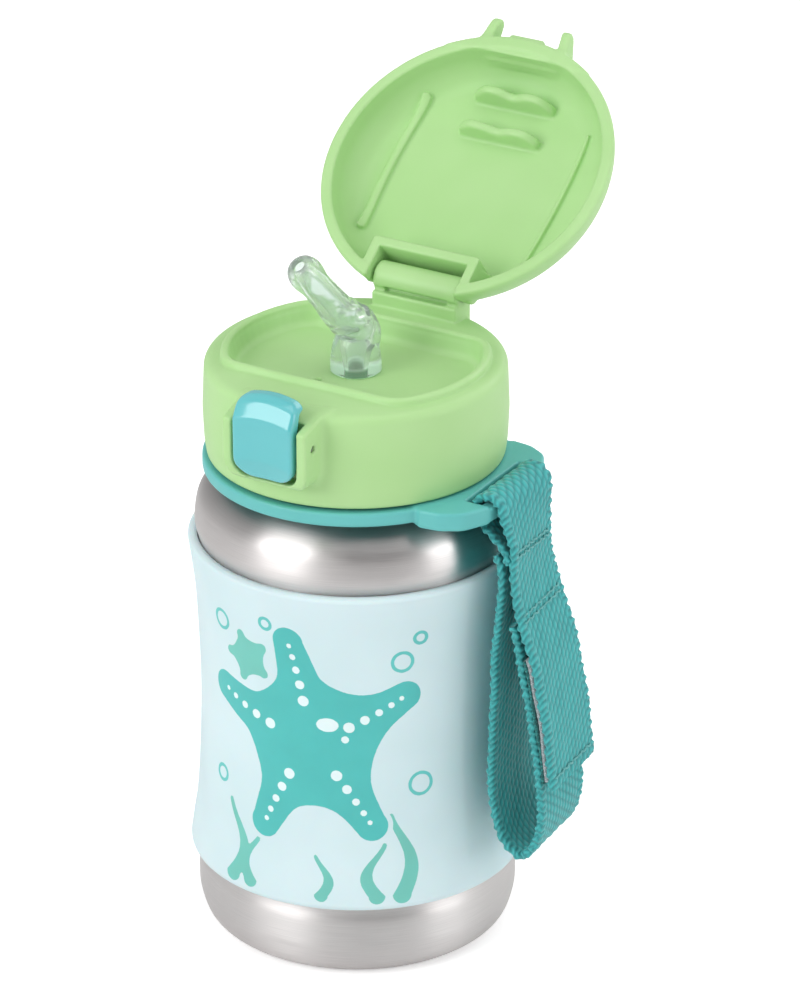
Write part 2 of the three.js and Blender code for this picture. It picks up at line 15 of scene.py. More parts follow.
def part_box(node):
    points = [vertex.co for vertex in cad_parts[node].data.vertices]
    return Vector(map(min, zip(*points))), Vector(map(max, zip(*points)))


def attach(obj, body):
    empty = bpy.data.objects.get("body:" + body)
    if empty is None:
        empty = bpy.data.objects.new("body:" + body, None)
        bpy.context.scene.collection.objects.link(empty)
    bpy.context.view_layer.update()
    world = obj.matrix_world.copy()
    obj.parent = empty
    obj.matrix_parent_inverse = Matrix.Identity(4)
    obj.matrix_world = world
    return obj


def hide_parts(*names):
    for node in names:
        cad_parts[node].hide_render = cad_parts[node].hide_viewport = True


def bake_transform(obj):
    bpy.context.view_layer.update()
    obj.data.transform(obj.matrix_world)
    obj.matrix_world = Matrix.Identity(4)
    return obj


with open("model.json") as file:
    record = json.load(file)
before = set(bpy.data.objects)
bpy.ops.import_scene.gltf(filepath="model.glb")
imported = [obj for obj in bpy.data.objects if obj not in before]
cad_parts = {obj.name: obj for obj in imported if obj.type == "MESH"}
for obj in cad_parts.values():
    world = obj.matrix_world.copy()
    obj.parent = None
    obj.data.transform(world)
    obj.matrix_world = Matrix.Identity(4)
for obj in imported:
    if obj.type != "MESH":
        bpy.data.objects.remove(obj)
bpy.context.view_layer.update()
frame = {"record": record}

MM = 0.001
TAU = 2 * math.pi


def linked(name, data):
    """A new object in the scene."""
    made = bpy.data.objects.new(name, data)
    bpy.context.scene.collection.objects.link(made)
    return made


# ---- camera ----
def make_camera():
    """The photograph's view: 30.1 degrees round from the latch, 25.1 above level, from 1.45 m."""
    azimuth, pitch = math.radians(30.1), math.radians(25.1)
    aside, above, away = 9.7, 29.1, 1447.7
    level = math.cos(pitch)
    back = Vector((math.sin(azimuth) * level, -math.cos(azimuth) * level, math.sin(pitch)))
    right = Vector((math.cos(azimuth), math.sin(azimuth), 0))
    up = back.cross(right)
    place = Vector((0, 0, 70)) + aside * right + above * up + away * back
    data = bpy.data.cameras.new("camera")
    data.lens, data.sensor_width = 232, 36
    data.clip_end = 20
    camera = linked("camera", data)
    turn = Matrix((right, up, back)).transposed()
    camera.matrix_world = Matrix.Translation(place * MM) @ turn.to_4x4()
    bpy.context.scene.camera = camera


make_camera()


# ---- dimensions shared by several pieces ----
def pin_axis(node):
    """Where the axis of a pin along X lies, (y, z)."""
    low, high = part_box(node)
    return (low.y + high.y) / 2 / MM, (low.z + high.z) / 2 / MM


HINGE_Y, HINGE_Z = pin_axis("hinge_pin")
BUTTON_PIN_Y, BUTTON_PIN_Z = pin_axis("button_pin")
LID_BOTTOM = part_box("lid_base")[0].z / MM
COVER_OPEN = frame["record"]["behaviour"]["joints"][2]["range_deg"][1]
GAP = 0.35  # running clearance between pieces
HINGE_PIN_R = 0.8
BUTTON_PIN_R = 0.7

NECK_R = 27
NECK_TOP = 129
THREAD_PITCH = 4
THREAD_TURNS = 1.5
NECK_THREAD_Z = 118.5

LID_CEILING = 131.7  # underside of the lid's top plate
LID_TOP = 138
OVER_ALL = 150  # above everything in the lid
RECESS_FLOOR = 133.9
RECESS_R = 28.9
RECESS_FRONT = -19.6
RECESS_BACK = 18.9
RECESS_CORNER = 7
BEAD_R = 1.05
VENT = (-4.6, -8.6)
VENT_R = 0.85
SPOUT_HOLE_R = 4.9

HOUSING_BOTTOM = 120.5
HOUSING_FRONT = -39.6
EAR_INNER = 8.2
EAR_OUTER = 10.5
POCKET_Y = -34.1

RIM_Z = 137.95  # the shut cover's rim face
NOTCH_HALF = 11.15
BARREL_R = 3.6
BARREL_HALF = 10.7

BAR_X = 39.6
BAR_Z = 112.75
BAR_LOOP_R = 3.4
WEB_HALF = 11
SEAM_TOP = 102.3


# ---- outlines ----
def rounded(corners, steps=6):
    """A closed outline from corners (u, v) or (u, v, radius), each radius drawn with `steps` chords."""
    points = []
    for i, corner in enumerate(corners):
        here = np.array(corner[:2], float)
        if len(corner) < 3:
            points.append(here)
            continue
        back = np.array(corners[i - 1][:2], float) - here
        on = np.array(corners[(i + 1) % len(corners)][:2], float) - here
        back_length, on_length = np.linalg.norm(back), np.linalg.norm(on)
        back, on = back / back_length, on / on_length
        half = math.acos(np.clip(back @ on, -1, 1)) / 2
        reach = min(corner[2] / math.tan(half), 0.49 * min(back_length, on_length))
        radius = reach * math.tan(half)
        middle = here + (back + on) / np.linalg.norm(back + on) * radius / math.sin(half)
        a, b = here + back * reach - middle, here + on * reach - middle
        start = math.atan2(a[1], a[0])
        sweep = (math.atan2(b[1], b[0]) - start + math.pi) % TAU - math.pi
        for k in range(steps + 1):
            angle = start + sweep * k / steps
            points.append(middle + radius * np.array([math.cos(angle), math.sin(angle)]))
    return np.array(points)


def way_along(line):
    """How far along a line each of its points lies."""
    return np.concatenate([[0], np.cumsum(np.linalg.norm(np.diff(line, axis=0), axis=1))])


def smooth_line(points, spacing):
    """Points about `spacing` apart on a Catmull-Rom curve through the given ones."""
    points = np.array(points, float)
    ends = np.vstack([2 * points[0] - points[1], points, 2 * points[-1] - points[-2]])
    fine = []
    for a, b, c, d in zip(ends, ends[1:], ends[2:], ends[3:]):
        for t in np.linspace(0, 1, 24, endpoint=False):
            curve = 2 * b + (c - a) * t + (2 * a - 5 * b + 4 * c - d) * t**2 + (3 * b - a - 3 * c + d) * t**3
            fine.append(0.5 * curve)
    fine = np.vstack([fine, points[-1]])
    along = way_along(fine)
    count = max(2, round(along[-1] / spacing))
    even = np.linspace(0, along[-1], count + 1)
    return np.stack([np.interp(even, along, fine[:, k]) for k in range(fine.shape[1])], 1)


def headings(line):
    """The unit vectors along a line, at its points."""
    along = np.gradient(line, axis=0)
    return along / np.linalg.norm(along, axis=1)[:, None]


def normals_of(line):
    """The unit normals to the left of a 2-D line, at its points."""
    along = headings(line)
    return np.stack([-along[:, 1], along[:, 0]], 1)


# ---- signed distance fields, negative inside ----
def outline_distance(u, v, outline):
    nearest = np.full(u.shape, np.inf)
    inside = np.zeros(u.shape, bool)
    for (au, av), (bu, bv) in zip(outline, np.roll(outline, -1, axis=0)):
        eu, ev = bu - au, bv - av
        length = eu * eu + ev * ev
        if length < 1e-12:
            continue
        t = np.clip(((u - au) * eu + (v - av) * ev) / length, 0, 1)
        nearest = np.minimum(nearest, (u - au - eu * t) ** 2 + (v - av - ev * t) ** 2)
        if ev != 0:
            inside ^= ((av <= v) != (bv <= v)) & (u < au + (v - av) / ev * eu)
    return np.where(inside, -1, 1) * np.sqrt(nearest)


class Flat:
    """The distance to a closed outline in a plane, read from a fine table."""

    STEP = 0.12
    MARGIN = 3

    def __init__(self, outline):
        self.low = outline.min(0) - self.MARGIN
        count = np.ceil((outline.max(0) + self.MARGIN - self.low) / self.STEP).astype(int) + 1
        u = self.low[0] + self.STEP * np.arange(count[0])
        v = self.low[1] + self.STEP * np.arange(count[1])
        self.table = outline_distance(*np.meshgrid(u, v, indexing="ij"), outline)

    def __call__(self, u, v):
        a = (u - self.low[0]) / self.STEP
        b = (v - self.low[1]) / self.STEP
        a_in = np.clip(a, 0, self.table.shape[0] - 1.001)
        b_in = np.clip(b, 0, self.table.shape[1] - 1.001)
        i, j = a_in.astype(int), b_in.astype(int)
        s, t = a_in - i, b_in - j
        table = self.table
        near = table[i, j] * (1 - s) + table[i + 1, j] * s
        far = table[i, j + 1] * (1 - s) + table[i + 1, j + 1] * s
        return near * (1 - t) + far * t + np.hypot(a - a_in, b - b_in) * self.STEP


def outlined(*corners, steps=6):
    """The distance to a closed outline whose corners are rounded."""
    return Flat(rounded(corners, steps))


def prism(flat, w, start, end, radius=0.0):
    """A flat distance carried along w from start to end, its edges rounded."""
    side = flat + radius
    cap = np.abs(w - (start + end) / 2) - (end - start) / 2 + radius
    outside = np.hypot(np.maximum(side, 0), np.maximum(cap, 0))
    return np.minimum(np.maximum(side, cap), 0) + outside - radius


def block(x, y, z, x_span, y_span, z_span, radius=0.0):
    sides = []
    for value, (start, end) in zip((x, y, z), (x_span, y_span, z_span)):
        sides.append(np.abs(value - (start + end) / 2) - (end - start) / 2 + radius)
    outside = np.sqrt(sum(np.maximum(side, 0) ** 2 for side in sides))
    return np.minimum(np.maximum(np.maximum(sides[0], sides[1]), sides[2]), 0) + outside - radius


def rod_x(x, y, z, x_span, radius, at_y, at_z, edge=0.3):
    return prism(np.hypot(y - at_y, z - at_z) - radius, x, *x_span, edge)


def merge(a, b, fillet):
    """Joins two fields with a fillet."""
    h = np.clip(0.5 + 0.5 * (b - a) / fillet, 0, 1)
    return b + (a - b) * h - fillet * h * (1 - h)


def carve(a, b, fillet):
    """Cuts b out of a, with the cut's edges eased."""
    return -merge(-a, b, fillet)


def helix_distance(x, y, z, radius, bottom):
    """The distance to the centre line of a thread."""
    turn = np.arctan2(y, x) / TAU
    lap = np.round((z - bottom) / THREAD_PITCH - turn)
    lap = np.clip(lap + turn, 0, THREAD_TURNS)
    return np.hypot(np.hypot(x, y) - radius, z - bottom - lap * THREAD_PITCH)


# ---- meshes ----
def piece(name, points, faces):
    """A mesh object from points in millimetres and quads."""
    faces = np.asarray(faces, np.int32)
    mesh = bpy.data.meshes.new(name)
    mesh.vertices.add(len(points))
    mesh.vertices.foreach_set("co", (np.asarray(points, np.float32) * MM).ravel())
    mesh.loops.add(faces.size)
    mesh.loops.foreach_set("vertex_index", faces.ravel())
    mesh.polygons.add(len(faces))
    mesh.polygons.foreach_set("loop_start", np.arange(0, faces.size, faces.shape[1], dtype=np.int32))
    mesh.polygons.foreach_set("use_smooth", np.ones(len(faces), bool))
    mesh.update(calc_edges=True)
    return linked(name, mesh)


def grid_faces(rows, columns, closed_rows=True):
    """The quads of a grid of points that closes on itself along each row, and may from last row to first."""
    i = np.arange(rows if closed_rows else rows - 1)
    i, j = np.meshgrid(i, np.arange(columns), indexing="ij")
    i_next, j_next = (i + 1) % rows, (j + 1) % columns
    corners = [i * columns + j, i_next * columns + j, i_next * columns + j_next, i * columns + j_next]
    return np.stack([c.ravel() for c in corners], 1)


CORNERS = [(0, 0), (0, 1), (1, 0), (1, 1)]


def net(field, span_low, span_high, step):
    """A quad net round the field's zero surface, a vertex in each grid cell that the surface crosses."""
    counts = [int(math.ceil((h - l) / step)) + 1 for l, h in zip(span_low, span_high)]
    xs, ys, zs = (l + step * np.arange(n) for l, n in zip(span_low, counts))
    values = np.empty(counts, np.float32)
    slab = 12
    for i in range(0, counts[0], slab):
        values[i : i + slab] = field(*np.meshgrid(xs[i : i + slab], ys, zs, indexing="ij"))
    inside = values < 0
    shape = [n - 1 for n in counts]
    filled = np.zeros(shape, np.int8)
    for a in (0, 1):
        for b, c in CORNERS:
            filled += inside[a : a + shape[0], b : b + shape[1], c : c + shape[2]]
    active = (filled > 0) & (filled < 8)
    cells = np.argwhere(active)
    index = np.full(shape, -1, np.int64)
    index[active] = np.arange(len(cells))
    total, count = np.zeros((len(cells), 3)), np.zeros(len(cells))
    for axis in range(3):
        u, v = (axis + 1) % 3, (axis + 2) % 3
        for b, c in CORNERS:
            start = cells.copy()
            start[:, u] += b
            start[:, v] += c
            end = start.copy()
            end[:, axis] += 1
            va, vb = values[tuple(start.T)], values[tuple(end.T)]
            crossed = (va < 0) != (vb < 0)
            at = start[crossed].astype(float)
            at[:, axis] += va[crossed] / (va[crossed] - vb[crossed])
            total[crossed] += at
            count[crossed] += 1
    points = total / count[:, None] * step + np.array(span_low, float)
    faces = []
    for axis in range(3):
        u, v = (axis + 1) % 3, (axis + 2) % 3
        first = np.take(inside, range(counts[axis] - 1), axis)
        second = np.take(inside, range(1, counts[axis]), axis)
        for out, changed in ((True, first & ~second), (False, ~first & second)):
            edges = np.argwhere(changed)
            around = []
            for b, c in ((1, 1), (0, 1), (0, 0), (1, 0)):
                cell = edges.copy()
                cell[:, u] -= b
                cell[:, v] -= c
                around.append(index[tuple(cell.T)])
            faces.append(np.stack(around if out else around[::-1], 1))
    return points, np.vstack(faces)


def settle(field, points, faces, step, rounds=3):
    """Moves the net's points onto the surface, evening them out between moves."""
    ends = np.vstack([faces[:, [k, (k + 1) % 4]] for k in range(4)])
    degree = np.bincount(ends.ravel(), minlength=len(points))
    eps = 0.04
    for turn in range(rounds):
        if turn:
            sums = sum(
                np.stack([np.bincount(a, points[b, k], len(points)) for k in range(3)], 1)
                for a, b in (ends.T, ends.T[::-1])
            )
            points = 0.5 * points + 0.5 * sums / degree[:, None]
        for _ in range(2):
            here = field(*points.T)
            slope = []
            for k in range(3):
                ahead, behind = points.copy(), points.copy()
                ahead[:, k] += eps
                behind[:, k] -= eps
                slope.append((field(*ahead.T) - field(*behind.T)) / (2 * eps))
            slope = np.stack(slope, 1)
            steepness = np.maximum((slope**2).sum(1), 0.2)
            move = np.clip(here / steepness, -0.6 * step, 0.6 * step)
            points = points - slope * move[:, None]
    return points


def moulded(name, field, span_low, span_high, step):
    """A moulded piece from a field: a net with its points settled on the surface."""
    points, faces = net(field, span_low, span_high, step)
    return piece(name, settle(field, points, faces, step), faces)


def circle(count):
    return TAU * np.arange(count) / count


def lathe(name, outline, segments=160, bump=None, angle=None):
    """A closed (radius, height) outline turned about the Z axis. bump(x, y, z) adds to the radius."""
    u, v = outline.T
    if (u * np.roll(v, -1) - np.roll(u, -1) * v).sum() < 0:
        outline = outline[::-1]
    if angle is None:
        angle = circle(segments)
    segments = len(angle)
    radius = np.repeat(outline[:, :1], segments, axis=1)
    z = np.repeat(outline[:, 1:], segments, axis=1)
    if bump:
        radius = radius + bump(radius * np.cos(angle), radius * np.sin(angle), z)
    points = np.stack([radius * np.cos(angle), radius * np.sin(angle), z], 2).reshape(-1, 3)
    return piece(name, points, grid_faces(len(outline), segments)[:, ::-1])


def disc_stack(name, rings, segments=160):
    """A solid of revolution from (radius, height) rings, top to bottom, closed at both ends on the axis."""
    rings = np.array([[0.02, rings[0][1]], *rings, [0.02, rings[-1][1]]], float)
    angle = circle(segments)
    points = [[r * np.cos(angle), r * np.sin(angle), z + 0 * angle] for r, z in rings]
    points = np.stack(points).transpose(0, 2, 1).reshape(-1, 3)
    return piece(name, points, grid_faces(len(rings), segments)[:, ::-1])


def spokes(line, aside, sides):
    """The unit vectors from each point of a line to the points of a circle round it."""
    along = headings(line)
    side = np.cross(along, np.array(aside))
    side /= np.linalg.norm(side, axis=1)[:, None]
    up = np.cross(along, side)
    angle = circle(sides)
    return side[:, None] * np.cos(angle)[:, None] + up[:, None] * np.sin(angle)[:, None]


def tube(path, radius, sides=10):
    """Points and quads of a round wire along a path, closed by a dome at each end."""
    path = np.asarray(path, float)
    along = headings(path)
    ring = spokes(path, [0.31, 0.17, 0.93], sides)
    ring = np.vstack([ring[:1], ring[:1], ring, ring[-1:], ring[-1:]])
    radii = np.full(len(path), float(radius))
    ends = [(-0.99, 0.14), (-0.7, 0.7)]
    path = np.vstack(
        [path[:1] + along[:1] * radius * s for s, _ in ends]
        + [path]
        + [path[-1:] - along[-1:] * radius * s for s, _ in ends[::-1]]
    )
    radii = np.concatenate([[radius * r for _, r in ends], radii, [radius * r for _, r in ends[::-1]]])
    points = (path[:, None] + ring * radii[:, None, None]).reshape(-1, 3)
    faces = grid_faces(len(path), sides, closed_rows=False)[:, ::-1]
    last = len(points) - sides
    caps = [
        [k, (k + 1) % sides, (sides - 1 - k - 1) % sides, (sides - 1 - k) % sides]
        for k in range(sides // 2 - 1)
    ]
    caps += [[last + c for c in cap[::-1]] for cap in caps]
    return points, np.vstack([faces, caps])


def joined(name, parts):
    """One piece from several lots of points and quads."""
    points, faces, offset = [], [], 0
    for part_points, part_faces in parts:
        points.append(part_points)
        faces.append(np.asarray(part_faces) + offset)
        offset += len(part_points)
    return piece(name, np.vstack(points), np.vstack(faces))


def keep_value(obj, name, values):
    """Stores a number for each vertex, for the material to read."""
    attribute = obj.data.attributes.new(name, "FLOAT", "POINT")
    attribute.data.foreach_set("value", np.asarray(values, np.float32))


# ---- materials ----
def linear(red, green, blue):
    """A colour given as it looks, 0 to 255 a channel, in the renderer's linear light."""
    return tuple(((c / 255 + 0.055) / 1.055) ** 2.4 for c in (red, green, blue)) + (1,)


class Nodes:
    """Short ways to add nodes to a tree."""

    def __init__(self, tree):
        self.tree = tree

    def feed(self, socket, value):
        if isinstance(value, bpy.types.NodeSocket):
            self.tree.links.new(value, socket)
        else:
            socket.default_value = value

    def add(self, kind, inputs=None, **settings):
        node = self.tree.nodes.new("ShaderNode" + kind)
        for name, value in settings.items():
            setattr(node, name, value)
        for key, value in (inputs or {}).items():
            self.feed(node.inputs[key], value)
        return node

    def ranged(self, value, low, high, to_low=0.0, to_high=1.0, smooth=False):
        inputs = {"Value": value, "From Min": low, "From Max": high, "To Min": to_low, "To Max": to_high}
        kind = "SMOOTHSTEP" if smooth else "LINEAR"
        return self.add("MapRange", inputs, interpolation_type=kind).outputs["Result"]

    def mixed(self, share, a, b, blend="MIX"):
        node = self.add("Mix", data_type="RGBA", blend_type=blend)
        self.feed(node.inputs["Factor"], share)
        self.feed(node.inputs[6], a)
        self.feed(node.inputs[7], b)
        return node.outputs[2]

    def math(self, operation, a, b=0.0):
        return self.add("Math", {0: a, 1: b}, operation=operation).outputs[0]


class Look(Nodes):
    """A material, with short ways to set its shader and to read its surface."""

    def __init__(self, name, **sockets):
        self.material = bpy.data.materials.new(name)
        self.material.use_nodes = True
        super().__init__(self.material.node_tree)
        self.shader = self.tree.nodes["Principled BSDF"]
        self.set(**sockets)

    def set(self, **sockets):
        for name, value in sockets.items():
            self.feed(self.shader.inputs[name.replace("_", " ")], value)

    def place(self, scale=(1, 1, 1)):
        """Object coordinates in metres, stretched by scale."""
        coordinates = self.add("TexCoord").outputs["Object"]
        return self.add("Mapping", {"Vector": coordinates, "Scale": scale}).outputs["Vector"]

    def noise(self, size_mm, detail=3, stretch=(1, 1, 1)):
        inputs = {"Vector": self.place(stretch), "Scale": 1000 / size_mm, "Detail": detail}
        return self.add("TexNoise", {**inputs, "Roughness": 0.55}).outputs["Fac"]

    def value(self, name):
        return self.add("Attribute", attribute_name=name).outputs["Fac"]

    def bump(self, height, strength, depth_mm, normal=None):
        inputs = {"Height": height, "Strength": strength, "Distance": depth_mm * MM}
        if normal is not None:
            inputs["Normal"] = normal
        return self.add("Bump", inputs).outputs["Normal"]


def moulded_plastic(name, light, dark, roughness, subsurface=0.12, coat=0.0):
    """Injection-moulded plastic: a faint cloudiness, a fine moulded skin and handling marks."""
    look = Look(name, Subsurface_Weight=subsurface, Subsurface_Scale=0.004, Coat_Weight=coat)
    look.set(Coat_Roughness=0.12, Specular_IOR_Level=0.42)
    look.shader.inputs["Subsurface Radius"].default_value = (0.7, 1.0, 0.6)
    cloud = look.noise(26, detail=2)
    look.set(Base_Color=look.mixed(look.ranged(cloud, 0.35, 0.65), linear(*dark), linear(*light)))
    skin = look.noise(0.5, detail=2)
    marks = look.noise(7, detail=4)
    wear = look.ranged(marks, 0.4, 0.7, roughness, roughness + 0.12)
    look.set(Roughness=look.math("ADD", wear, look.ranged(skin, 0.3, 0.7, -0.03, 0.03)))
    look.set(Normal=look.bump(skin, 0.1, 0.03, look.bump(marks, 0.1, 0.05)))
    return look.material


def brushed_steel(name, tint, roughness):
    """Steel brushed round the axis: fine level lines stretch the reflections up and down, and a
    painted shade darkens the shoulder below the ring."""
    streak = 0.07
    # heights, in metres, over which the painted shade under the ring sets in
    shaded_from, shaded_to = 0.1035, 0.1095
    look = Look(name, Metallic=1.0, Anisotropic=0.85, Anisotropic_Rotation=0.25)
    look.set(Tangent=look.add("Tangent", direction_type="RADIAL", axis="Z").outputs[0])
    coordinates = look.add("SeparateXYZ", {0: look.place()})
    angle = look.math("ARCTAN2", coordinates.outputs["Y"], coordinates.outputs["X"])
    around = look.math("MULTIPLY", angle, 3.0)
    up = look.math("MULTIPLY", coordinates.outputs["Z"], 9000.0)
    line = look.add("CombineXYZ", {"X": around, "Y": up})
    fine = look.add("TexNoise", {"Vector": line.outputs[0], "Scale": 1.0, "Detail": 4.0}).outputs["Fac"]
    cloud = look.noise(14, detail=3)
    shade = look.ranged(fine, 0.3, 0.7, 1 - streak, 1 + streak)
    height = coordinates.outputs["Z"]
    # painted shade: the colour falls to half between these heights, on the shoulder under the ring
    shade = look.math("MULTIPLY", shade, look.ranged(height, shaded_from, shaded_to, 1, 0.5, smooth=True))
    shade = look.add("CombineColor", {0: shade, 1: shade, 2: shade}).outputs[0]
    colour = look.mixed(1.0, linear(*tint), shade, "MULTIPLY")
    look.set(Base_Color=colour)
    grain = look.ranged(fine, 0.3, 0.7, roughness - 0.04, roughness + 0.06)
    look.set(Roughness=look.math("ADD", grain, look.ranged(cloud, 0.3, 0.7, -0.03, 0.04)))
    look.set(Normal=look.bump(fine, 0.12, 0.02))
    return look.material


def drawn_wire(name):
    look = Look(name, Metallic=1.0)
    marks = look.noise(1.4, detail=3, stretch=(0.2, 1, 1))
    look.set(Base_Color=look.mixed(marks, linear(120, 120, 124), linear(196, 196, 200)))
    look.set(Roughness=look.ranged(marks, 0.3, 0.7, 0.22, 0.4))
    look.set(Normal=look.bump(marks, 0.15, 0.02))
    return look.material


def clear_silicone(name, tint, haze, clearness, painted_depth_shade=None):
    """Translucent silicone: faintly cloudy inside, with a softly uneven surface.

    With a colour for painted shade, the stored number `shut` closes the silicone off and gives it
    a painted glow, and the stored number for the bore's depth paints that shade there.
    """
    look = Look(name, IOR=1.38, Transmission_Weight=clearness, Specular_IOR_Level=0.5)
    look.set(Coat_Weight=0.3, Coat_Roughness=0.06)
    cloud = look.noise(3.2, detail=3)
    colour = look.mixed(look.ranged(cloud, 0.3, 0.7), linear(*haze), linear(*tint))
    if painted_depth_shade:
        # painted shade: the depth of the bore takes the dark colour
        colour = look.mixed(look.value("painted_depth_shade"), colour, linear(*painted_depth_shade))
        look.set(Transmission_Weight=look.ranged(look.value("shut"), 0, 1, clearness, 0))
        # painted glow: the shut silicone glows faintly, pale green in the lid's hole and dark green down the
        # bore
        glow = look.mixed(look.value("painted_depth_shade"), linear(176, 218, 182), linear(20, 60, 40))
        look.set(Emission_Color=glow, Emission_Strength=look.ranged(look.value("shut"), 0, 1, 0, 0.4))
    look.set(Base_Color=colour)
    look.set(Roughness=look.ranged(cloud, 0.3, 0.7, 0.08, 0.18))
    flow = look.noise(2.4, detail=2, stretch=(1, 1, 0.5))
    look.set(Normal=look.bump(flow, 0.2, 0.15))
    return look.material


def printed_silicone():
    """The sleeve: matt silicone, with the print where the stored distances are below zero."""
    look = Look("sleeve_silicone", Subsurface_Weight=0.15, Subsurface_Scale=0.003, Specular_IOR_Level=0.35)
    look.set(Sheen_Weight=0.08, Sheen_Roughness=0.5)
    cloud = look.ranged(look.noise(30, detail=2), 0.35, 0.65)
    colour = look.mixed(cloud, linear(205, 227, 231), linear(212, 232, 236))
    inks = [
        ("print_shade", (112, 193, 181)), ("print_body", (80, 186, 182)), ("print_light", (223, 239, 240)),
        ("print_bubble", (98, 194, 190)),
    ]
    grain = look.ranged(look.noise(1.1, detail=4), 0.3, 0.7, -0.04, 0.04)
    inked = None
    for name, ink in inks:
        away = look.value(name)
        if name == "print_bubble":
            away = look.math("SUBTRACT", look.math("ABSOLUTE", away), 0.4)
        share = look.ranged(look.math("ADD", away, grain), -0.07, 0.07, 1.0, 0.0)
        worn = look.ranged(look.noise(9, detail=3), 0.3, 0.7)
        patchy = look.mixed(worn, linear(*ink), linear(*(c * 1.03 for c in ink)))
        colour = look.mixed(share, colour, patchy)
        inked = share if inked is None else look.math("MAXIMUM", inked, share)
    look.set(Base_Color=colour)
    skin = look.noise(0.45, detail=2)
    matt = look.ranged(skin, 0.3, 0.7, 0.5, 0.6)
    look.set(Roughness=look.math("SUBTRACT", matt, look.math("MULTIPLY", inked, 0.08)))
    height = look.math("ADD", look.math("MULTIPLY", skin, 0.3), look.math("MULTIPLY", inked, 1.0))
    look.set(Normal=look.bump(height, 0.25, 0.04))
    return look.material


def woven(name, light, dark, thread_bump=0.5):
    """Ribbed webbing: the yarn height stored on the mesh lays painted shade between yarns; fine filaments run
    along them.
    """
    look = Look(name, Sheen_Weight=0.25, Sheen_Roughness=0.4, Specular_IOR_Level=0.4)
    yarn = look.value("yarn")
    patch = look.ranged(look.noise(6, detail=3), 0.3, 0.7, -0.12, 0.12)
    share = look.math("ADD", yarn, patch)
    # painted shade: where the yarn is low, between grains and along the edge's chain, it takes the dark
    # colour; random patches shift it a little
    look.set(Base_Color=look.mixed(look.ranged(share, 0.05, 0.95), linear(*dark), linear(*light)))
    filament = look.noise(0.22, detail=2, stretch=(1.6, 1.6, 0.35))
    look.set(Roughness=look.ranged(filament, 0.3, 0.7, 0.5, 0.72))
    look.set(Normal=look.bump(filament, thread_bump, 0.06))
    return look.material


def fuzzy_tape(name, light, dark, tuft_mm):
    look = Look(name, Roughness=0.85, Sheen_Weight=0.3, Sheen_Roughness=0.5)
    tuft = look.add("TexVoronoi", {"Vector": look.place(), "Scale": 1000 / tuft_mm}).outputs["Distance"]
    look.set(Base_Color=look.mixed(look.ranged(tuft, 0.1, 0.6), linear(*light), linear(*dark)))
    look.set(Normal=look.bump(tuft, 0.6, 0.15))
    return look.material


GREEN = moulded_plastic("leaf_plastic", (179, 219, 153), (173, 215, 146), 0.42)
BUTTON = moulded_plastic("button_plastic", (100, 193, 197), (94, 189, 194), 0.1, 0.05, coat=0.6)
TEAL = moulded_plastic("ring_plastic", (104, 191, 189), (98, 186, 184), 0.4, 0.08)
STEEL = brushed_steel("steel_shell", (214, 210, 209), 0.38)
LINER = brushed_steel("steel_liner", (208, 205, 203), 0.34)
WIRE = drawn_wire("spring_steel")
SLEEVE = printed_silicone()
# the last colour is painted shade for the bottom of the spout's bore
SPOUT = clear_silicone("spout_silicone", (248, 254, 251), (238, 250, 245), 0.82, painted_depth_shade=(44, 116, 76))
SEAL = clear_silicone("seal_silicone", (234, 246, 243), (220, 238, 234), 0.4)
# the webbing's second colour is painted shade for the gaps between yarns
WEB = woven("webbing", (68, 178, 178), (44, 134, 136))
THREAD = woven("stitch_thread", (150, 208, 206), (104, 176, 174), 0.3)
LOOP = fuzzy_tape("loop_tape", (60, 160, 156), (26, 104, 102), 0.5)
HOOK = fuzzy_tape("hook_tape", (196, 204, 206), (140, 150, 154), 0.35)


def dress(obj, material, slot, body, *nodes):
    """Gives a piece its material, its body and the CAD nodes that it stands for; the slot is not used."""
    obj.data.materials.clear()
    obj.data.materials.append(material)
    if body:
        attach(obj, body)
    if nodes:
        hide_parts(*nodes)
    return obj


# ---- steel bottle ----
SHELL_LINE = [
    (29.35, 0), (31.8, 0.5), (34.4, 2.9), (35.8, 7.2), (36, 10.5), (35.9, 14.5), (35.2, 18.5), (33.7, 34),
    (33, 57), (33.7, 80), (35.2, 94.5), (35.9, 97.6), (36, 100.4), (35.1, 104.6), (32.4, 107.9),
    (29, 110.2), (27.4, 112), (27, 114.4), (27, 117), (27, 123), (27, NECK_TOP),
]


def neck_thread(x, y, z):
    """How far the thread stands out of the neck."""
    near = helix_distance(x, y, z, NECK_R + 0.2, NECK_THREAD_Z)
    outer = np.hypot(x, y) > NECK_R - 0.2
    return np.where(outer & (z > 114), np.clip(1 - (near / 1.3) ** 2, 0, 1) ** 1.5, 0)


